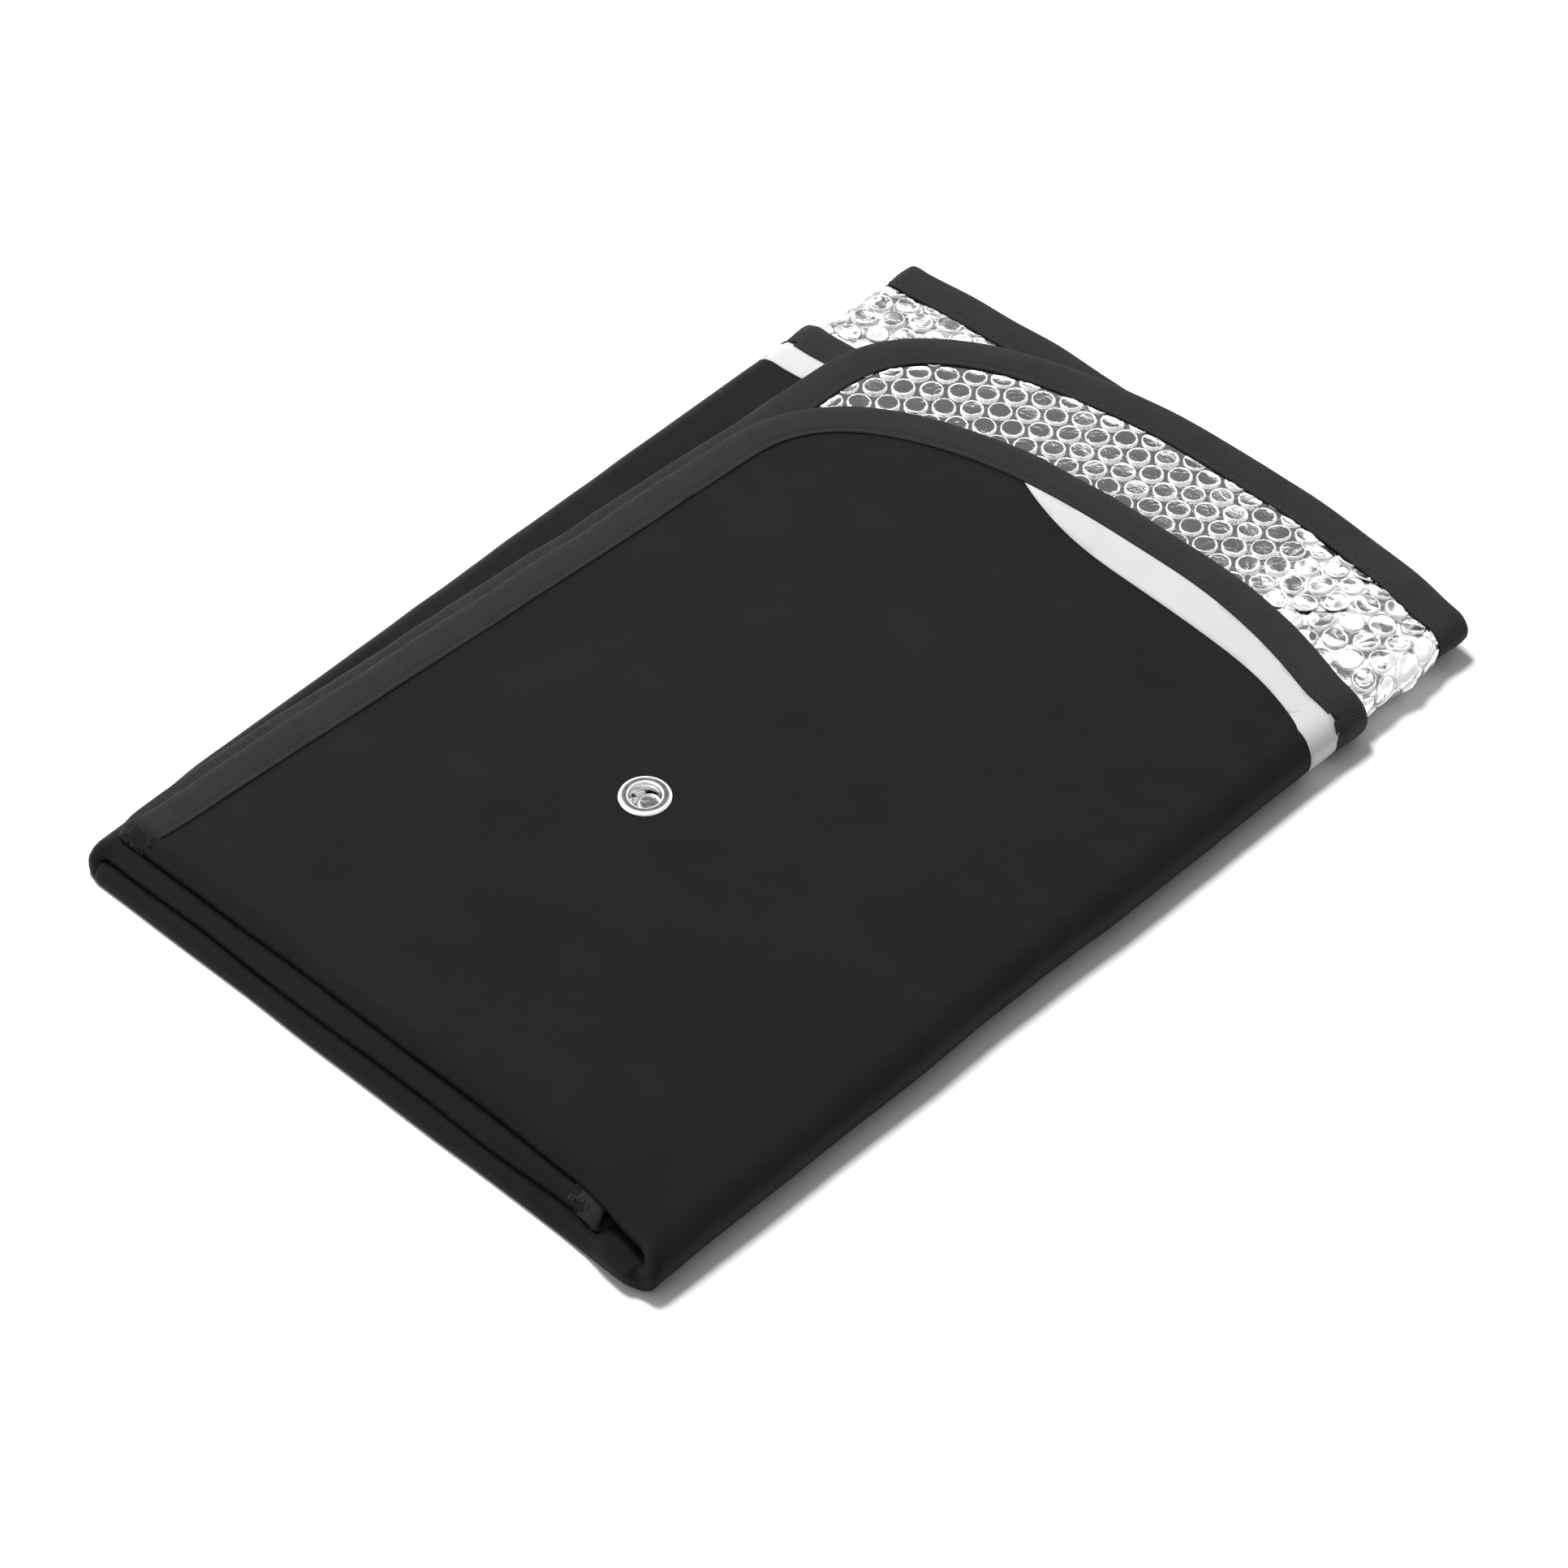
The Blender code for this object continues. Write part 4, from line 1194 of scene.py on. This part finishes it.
def makeStitches(right, tree):
    edge, way = tapeRun(right)
    line = edge[1:-1] + way[1:-1] * tape["stitchInset"]
    # the groove's height on each face
    heights = 0.00118, -0.00118 * (1 - float(smooth((tape["stitchInset"] - 0.006) / 0.009)) * (1 - tape["filmSide"]))
    vertices, edges = [], []
    for height in heights:
        first = len(vertices)
        vertices += [(*p, height) for p in line.tolist()]
        edges += [(first + i, first + i + 1) for i in range(len(line) - 1)]
    mesh = bpy.data.meshes.new("stitches_right" if right else "stitches_left")
    mesh.from_pydata(vertices, edges, [])
    obj = bpy.data.objects.new(mesh.name, mesh)
    bpy.context.scene.collection.objects.link(obj)
    runTree(obj, tree, {**stitching, "Material": threadMaterial})
    return foldPiece(obj)


# Reflective strips

strip = {
    "heights": (0.00091, 0.00112),
    "left": 0.012,  # how much the binding leaves bare, at the left and the right fold
    "right": 0.014,
    "tipFromFold": 0.158,
    "bend": 0.012,
    "under": 0.0008,  # how far it runs in under the tape
}


def makeStrip(right):
    outerRun = cutEdge[:, 1] < -0.2
    inner = cutEdge + cutInwards * (tape["width"] - strip["under"])
    lineS, lineV = inner[outerRun].T
    order = np.argsort(lineS)
    lineS, lineV = lineS[order], lineV[order]

    def upperAt(s):
        return np.interp(s, lineS, lineV)

    tipX, endX = rightX - strip["tipFromFold"], rightX
    tipS, foldS = toFlat(np.array([[tipX, 0.1], [endX, 0.1]]), 1, 0)[:, 0]
    leftEnd = toFlat(np.array([[leftX + outline["crownFromFold"], 0.1]]), -1, 0)[0, 0]
    s = np.linspace(leftEnd, tipS, 300)
    widening = (strip["right"] - strip["left"]) * np.clip((s - leftX) / (rightX - leftX), 0, 1)
    wide = strip["left"] + widening + strip["under"]
    lower = upperAt(s) + wide
    # on the right flap its own edge runs nearly straight, so the round corner closes over it towards a tip
    tipV, endV = upperAt(tipS), upperAt(foldS) + strip["right"] + strip["under"]
    share = np.clip((tipS - s) / (tipS - foldS), 0, 1)
    bend = strip["bend"] * (1 - (2 * share - 1) ** 2) * (1 - 2 * share)
    straight = tipV + (endV - tipV) * share + bend
    lower = np.where(s > foldS, np.maximum(straight, upperAt(s)), lower)
    keep = s >= sideSeam if right else s <= sideSeam
    s = np.unique(np.append(s[keep], sideSeam))
    lower = np.interp(s, np.linspace(leftEnd, tipS, 300), lower)
    upper = np.column_stack((s, upperAt(s)))[: -1 if right else None]  # the right one ends in a tip
    polygon = np.concatenate((upper, np.column_stack((s, lower))[::-1]))
    columns = linesBetween(polygon[:, 0].min(), polygon[:, 0].max(), 0.004, arcZones)[1:]
    rows = linesBetween(polygon[:, 1].min(), polygon[:, 1].max(), 0.004, [])
    vertices, faces = cutSheet(polygon, gridPoints(columns, rows))
    obj = thickSheet("reflectiveStrip_right" if right else "reflectiveStrip_left", vertices, faces, *strip["heights"])
    obj.data.materials.append(stripMaterial)
    return foldPiece(obj)


# Eyelet

eyelet = {
    "turns": 64,
    # radius and height above the fabric, round the pressed ring: up the outside, over, and down the barrel
    "grommet": (
        (0.0100, 0.00000), (0.01002, 0.00025), (0.00985, 0.00052), (0.0094, 0.00080), (0.0087, 0.00102), (0.0080, 0.00112),
        (0.0073, 0.00114), (0.0068, 0.00108), (0.0064, 0.00092), (0.00615, 0.00066), (0.00602, 0.00030), (0.0060, -0.0002),
        (0.0060, -0.0024), (0.0061, -0.00285), (0.0064, -0.0031), (0.0068, -0.0030), (0.00695, -0.00275), (0.0067, -0.0025),
        (0.0064, -0.0022), (0.0064, -0.0003), (0.0066, 0.0001), (0.0072, 0.00035), (0.0082, 0.00035), (0.0092, 0.00012),
    ),
    "washer": (
        (0.0100, -0.00232), (0.0100, -0.00212), (0.0095, -0.00196), (0.0085, -0.00188), (0.0075, -0.00192),
        (0.0068, -0.0021), (0.0068, -0.00236), (0.0076, -0.00250), (0.0090, -0.00250),
    ),
}


def makeRing(name, profile, centre):
    turns, size = eyelet["turns"], len(profile)
    vertices, faces = [], []
    for step in range(turns):
        turn = 2 * math.pi * step / turns
        vertices += [(centre[0] + r * math.cos(turn), centre[1] + r * math.sin(turn), centre[2] + h) for r, h in profile]
    for step in range(turns):
        a, b = step * size, (step + 1) % turns * size
        faces += [[a + j, b + j, b + (j + 1) % size, a + (j + 1) % size] for j in range(size)]
    obj = newObject(name, vertices, faces)
    obj.data.materials.append(nickelMaterial)
    return obj


# Making the pieces

bubbleTree, stitchTree = makeBubbleTree(), makeStitchTree()
nodeStarts = {"left": ("left_flap", "left_fold"), "base": ("base_",), "fold": ("right_fold",), "flap": ("right_flap",)}
kinds = {  # the pieces of each kind: their material slot, and the ending of the nodes that they stand for
    "fabric": ("outer_fabric", "_fabric"),
    "film": ("bubble_film", "_film"),
    "binding": ("edge_binding", "_binding"),
    "stitches": ("edge_binding", None),
    "reflectiveStrip": ("reflective_strip", "_strip"),
}


def place(obj, part, kind):
    slotName, ending = kinds[kind]
    if ending:
        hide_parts(*[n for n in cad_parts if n.endswith(ending) and n.startswith(nodeStarts[part])])
    if part == "fold":
        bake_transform(obj)
    else:
        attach(obj, "right_flap" if part == "flap" else "base")


for right in (False, True):
    fabric, polygon = makeFabric(right)
    made = {
        "fabric": fabric,
        "film": makeFilm(right, bubbleTree),
        "reflectiveStrip": makeStrip(right),
        "binding": makeBinding(right),
        "stitches": makeStitches(right, stitchTree),
    }
    for kind, obj in made.items():
        for part, piece in (splitPiece(obj) if right else {"left": obj}).items():
            place(piece, part, kind)

rimAt = foldMat(np.array([[*eyeletFlat, 0.0009]]))[0]
for name, node, profile in (("eyeletGrommet", "eyelet_grommet", "grommet"), ("eyeletWasher", "eyelet_washer", "washer")):
    ring = makeRing(name, eyelet[profile], (eyeletX, eyeletY, rimAt[2] + 0.0001))
    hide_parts(node)
    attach(ring, "right_flap")
print("eyelet made")


# Floor, light and camera

floorMaterial = newMaterial("paleFloor", (0.93, 0.93, 0.93), 0.75)[0]
floor = newObject("floor", [(-4, -4, 0), (4, -4, 0), (4, 4, 0), (-4, 4, 0)], [[0, 1, 2, 3]])
floor.data.materials.append(floorMaterial)
floor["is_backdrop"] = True

lights = {  # place, aimed at the mat; width; watts
    "upperPanel": ((-0.80, 0.36, 1.75), 0.7, 64),
}


def addLight(name, at, size, power):
    data = bpy.data.lights.new(name, "AREA")
    data.size, data.energy = size, power
    data.shape = "DISK"
    light = bpy.data.objects.new(name, data)
    light.location = at
    light.rotation_euler = (Vector((0, 0, 0)) - Vector(at)).to_track_quat("-Z", "Y").to_euler()
    light.visible_glossy = False  # the mirror-bright film sees only the room
    bpy.context.scene.collection.objects.link(light)


for name, values in lights.items():
    addLight(name, *values)

studio = {
    "darkTowards": (-0.462, 0.530, 0.711),
    "darkWithin": 13,  # degrees from the opening's middle
    "brightBeyond": 27,
    "dark": 0.10,
    "leftSide": 1.75,
    "rightSide": 0.70,
    "fill": 0.32,  # share of the room's light that falls on the mat and the floor
}


def makeWorld():
    # a pale room, brighter on the left, with one dark opening above and behind the mat
    world = bpy.data.worlds.new("studio")
    bpy.context.scene.world = world
    world.use_nodes = True
    tree = world.node_tree
    view = addNode(tree, "ShaderNodeTexCoord").outputs["Generated"]

    def towards(direction):
        dot = addNode(tree, "ShaderNodeVectorMath", operation="DOT_PRODUCT")
        link(tree, view, dot.inputs[0])
        dot.inputs[1].default_value = Vector(direction).normalized()
        return dot.outputs["Value"]

    def ramp(value, low, high, lowValue, highValue):
        node = addNode(tree, "ShaderNodeMapRange", interpolation_type="SMOOTHSTEP", clamp=True)
        link(tree, value, node.inputs["Value"])
        for name, number in {"From Min": low, "From Max": high, "To Min": lowValue, "To Max": highValue}.items():
            node.inputs[name].default_value = number
        return node.outputs["Result"]

    sides = ramp(towards((-0.85, 0.2, 0.0)), -0.8, 0.8, studio["rightSide"], studio["leftSide"])
    edges = [math.cos(math.radians(studio[name])) for name in ("brightBeyond", "darkWithin")]
    opening = ramp(towards(studio["darkTowards"]), *edges, 1.0, studio["dark"])
    tree.nodes["Background"].inputs["Color"].default_value = (1, 1, 1, 1)
    # the room fills the shadows less than it shows in the film
    rays = addNode(tree, "ShaderNodeLightPath").outputs["Is Diffuse Ray"]
    fill = mathNode(tree, "SUBTRACT", 1.0, mathNode(tree, "MULTIPLY", rays, 1 - studio["fill"]))
    strength = mathNode(tree, "MULTIPLY", mathNode(tree, "MULTIPLY", sides, opening), fill)
    link(tree, strength, tree.nodes["Background"].inputs["Strength"])


makeWorld()
bpy.context.scene.view_settings.view_transform = "Standard"

cameraData = bpy.data.cameras.new("camera")
cameraData.sensor_width = 36
cameraData.lens = 158.4
cameraData.clip_end = 20
cameraData.shift_x, cameraData.shift_y = 0.0035, -0.0060
camera = bpy.data.objects.new("camera", cameraData)
camera.location = (1.2010, -1.2594, 1.8462)
camera.rotation_euler = (math.radians(43.1), 0, math.radians(43.84))
bpy.context.scene.collection.objects.link(camera)
bpy.context.scene.camera = camera

low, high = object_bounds()
{"cad": [list(corner) for corner in cadBox], "visual": [list(low), list(high)]}
shownMeshes = [obj.data for obj in bpy.data.objects if obj.type == "MESH" and not obj.hide_render]
print("finished,", sum(len(mesh.polygons) for mesh in shownMeshes), "faces")
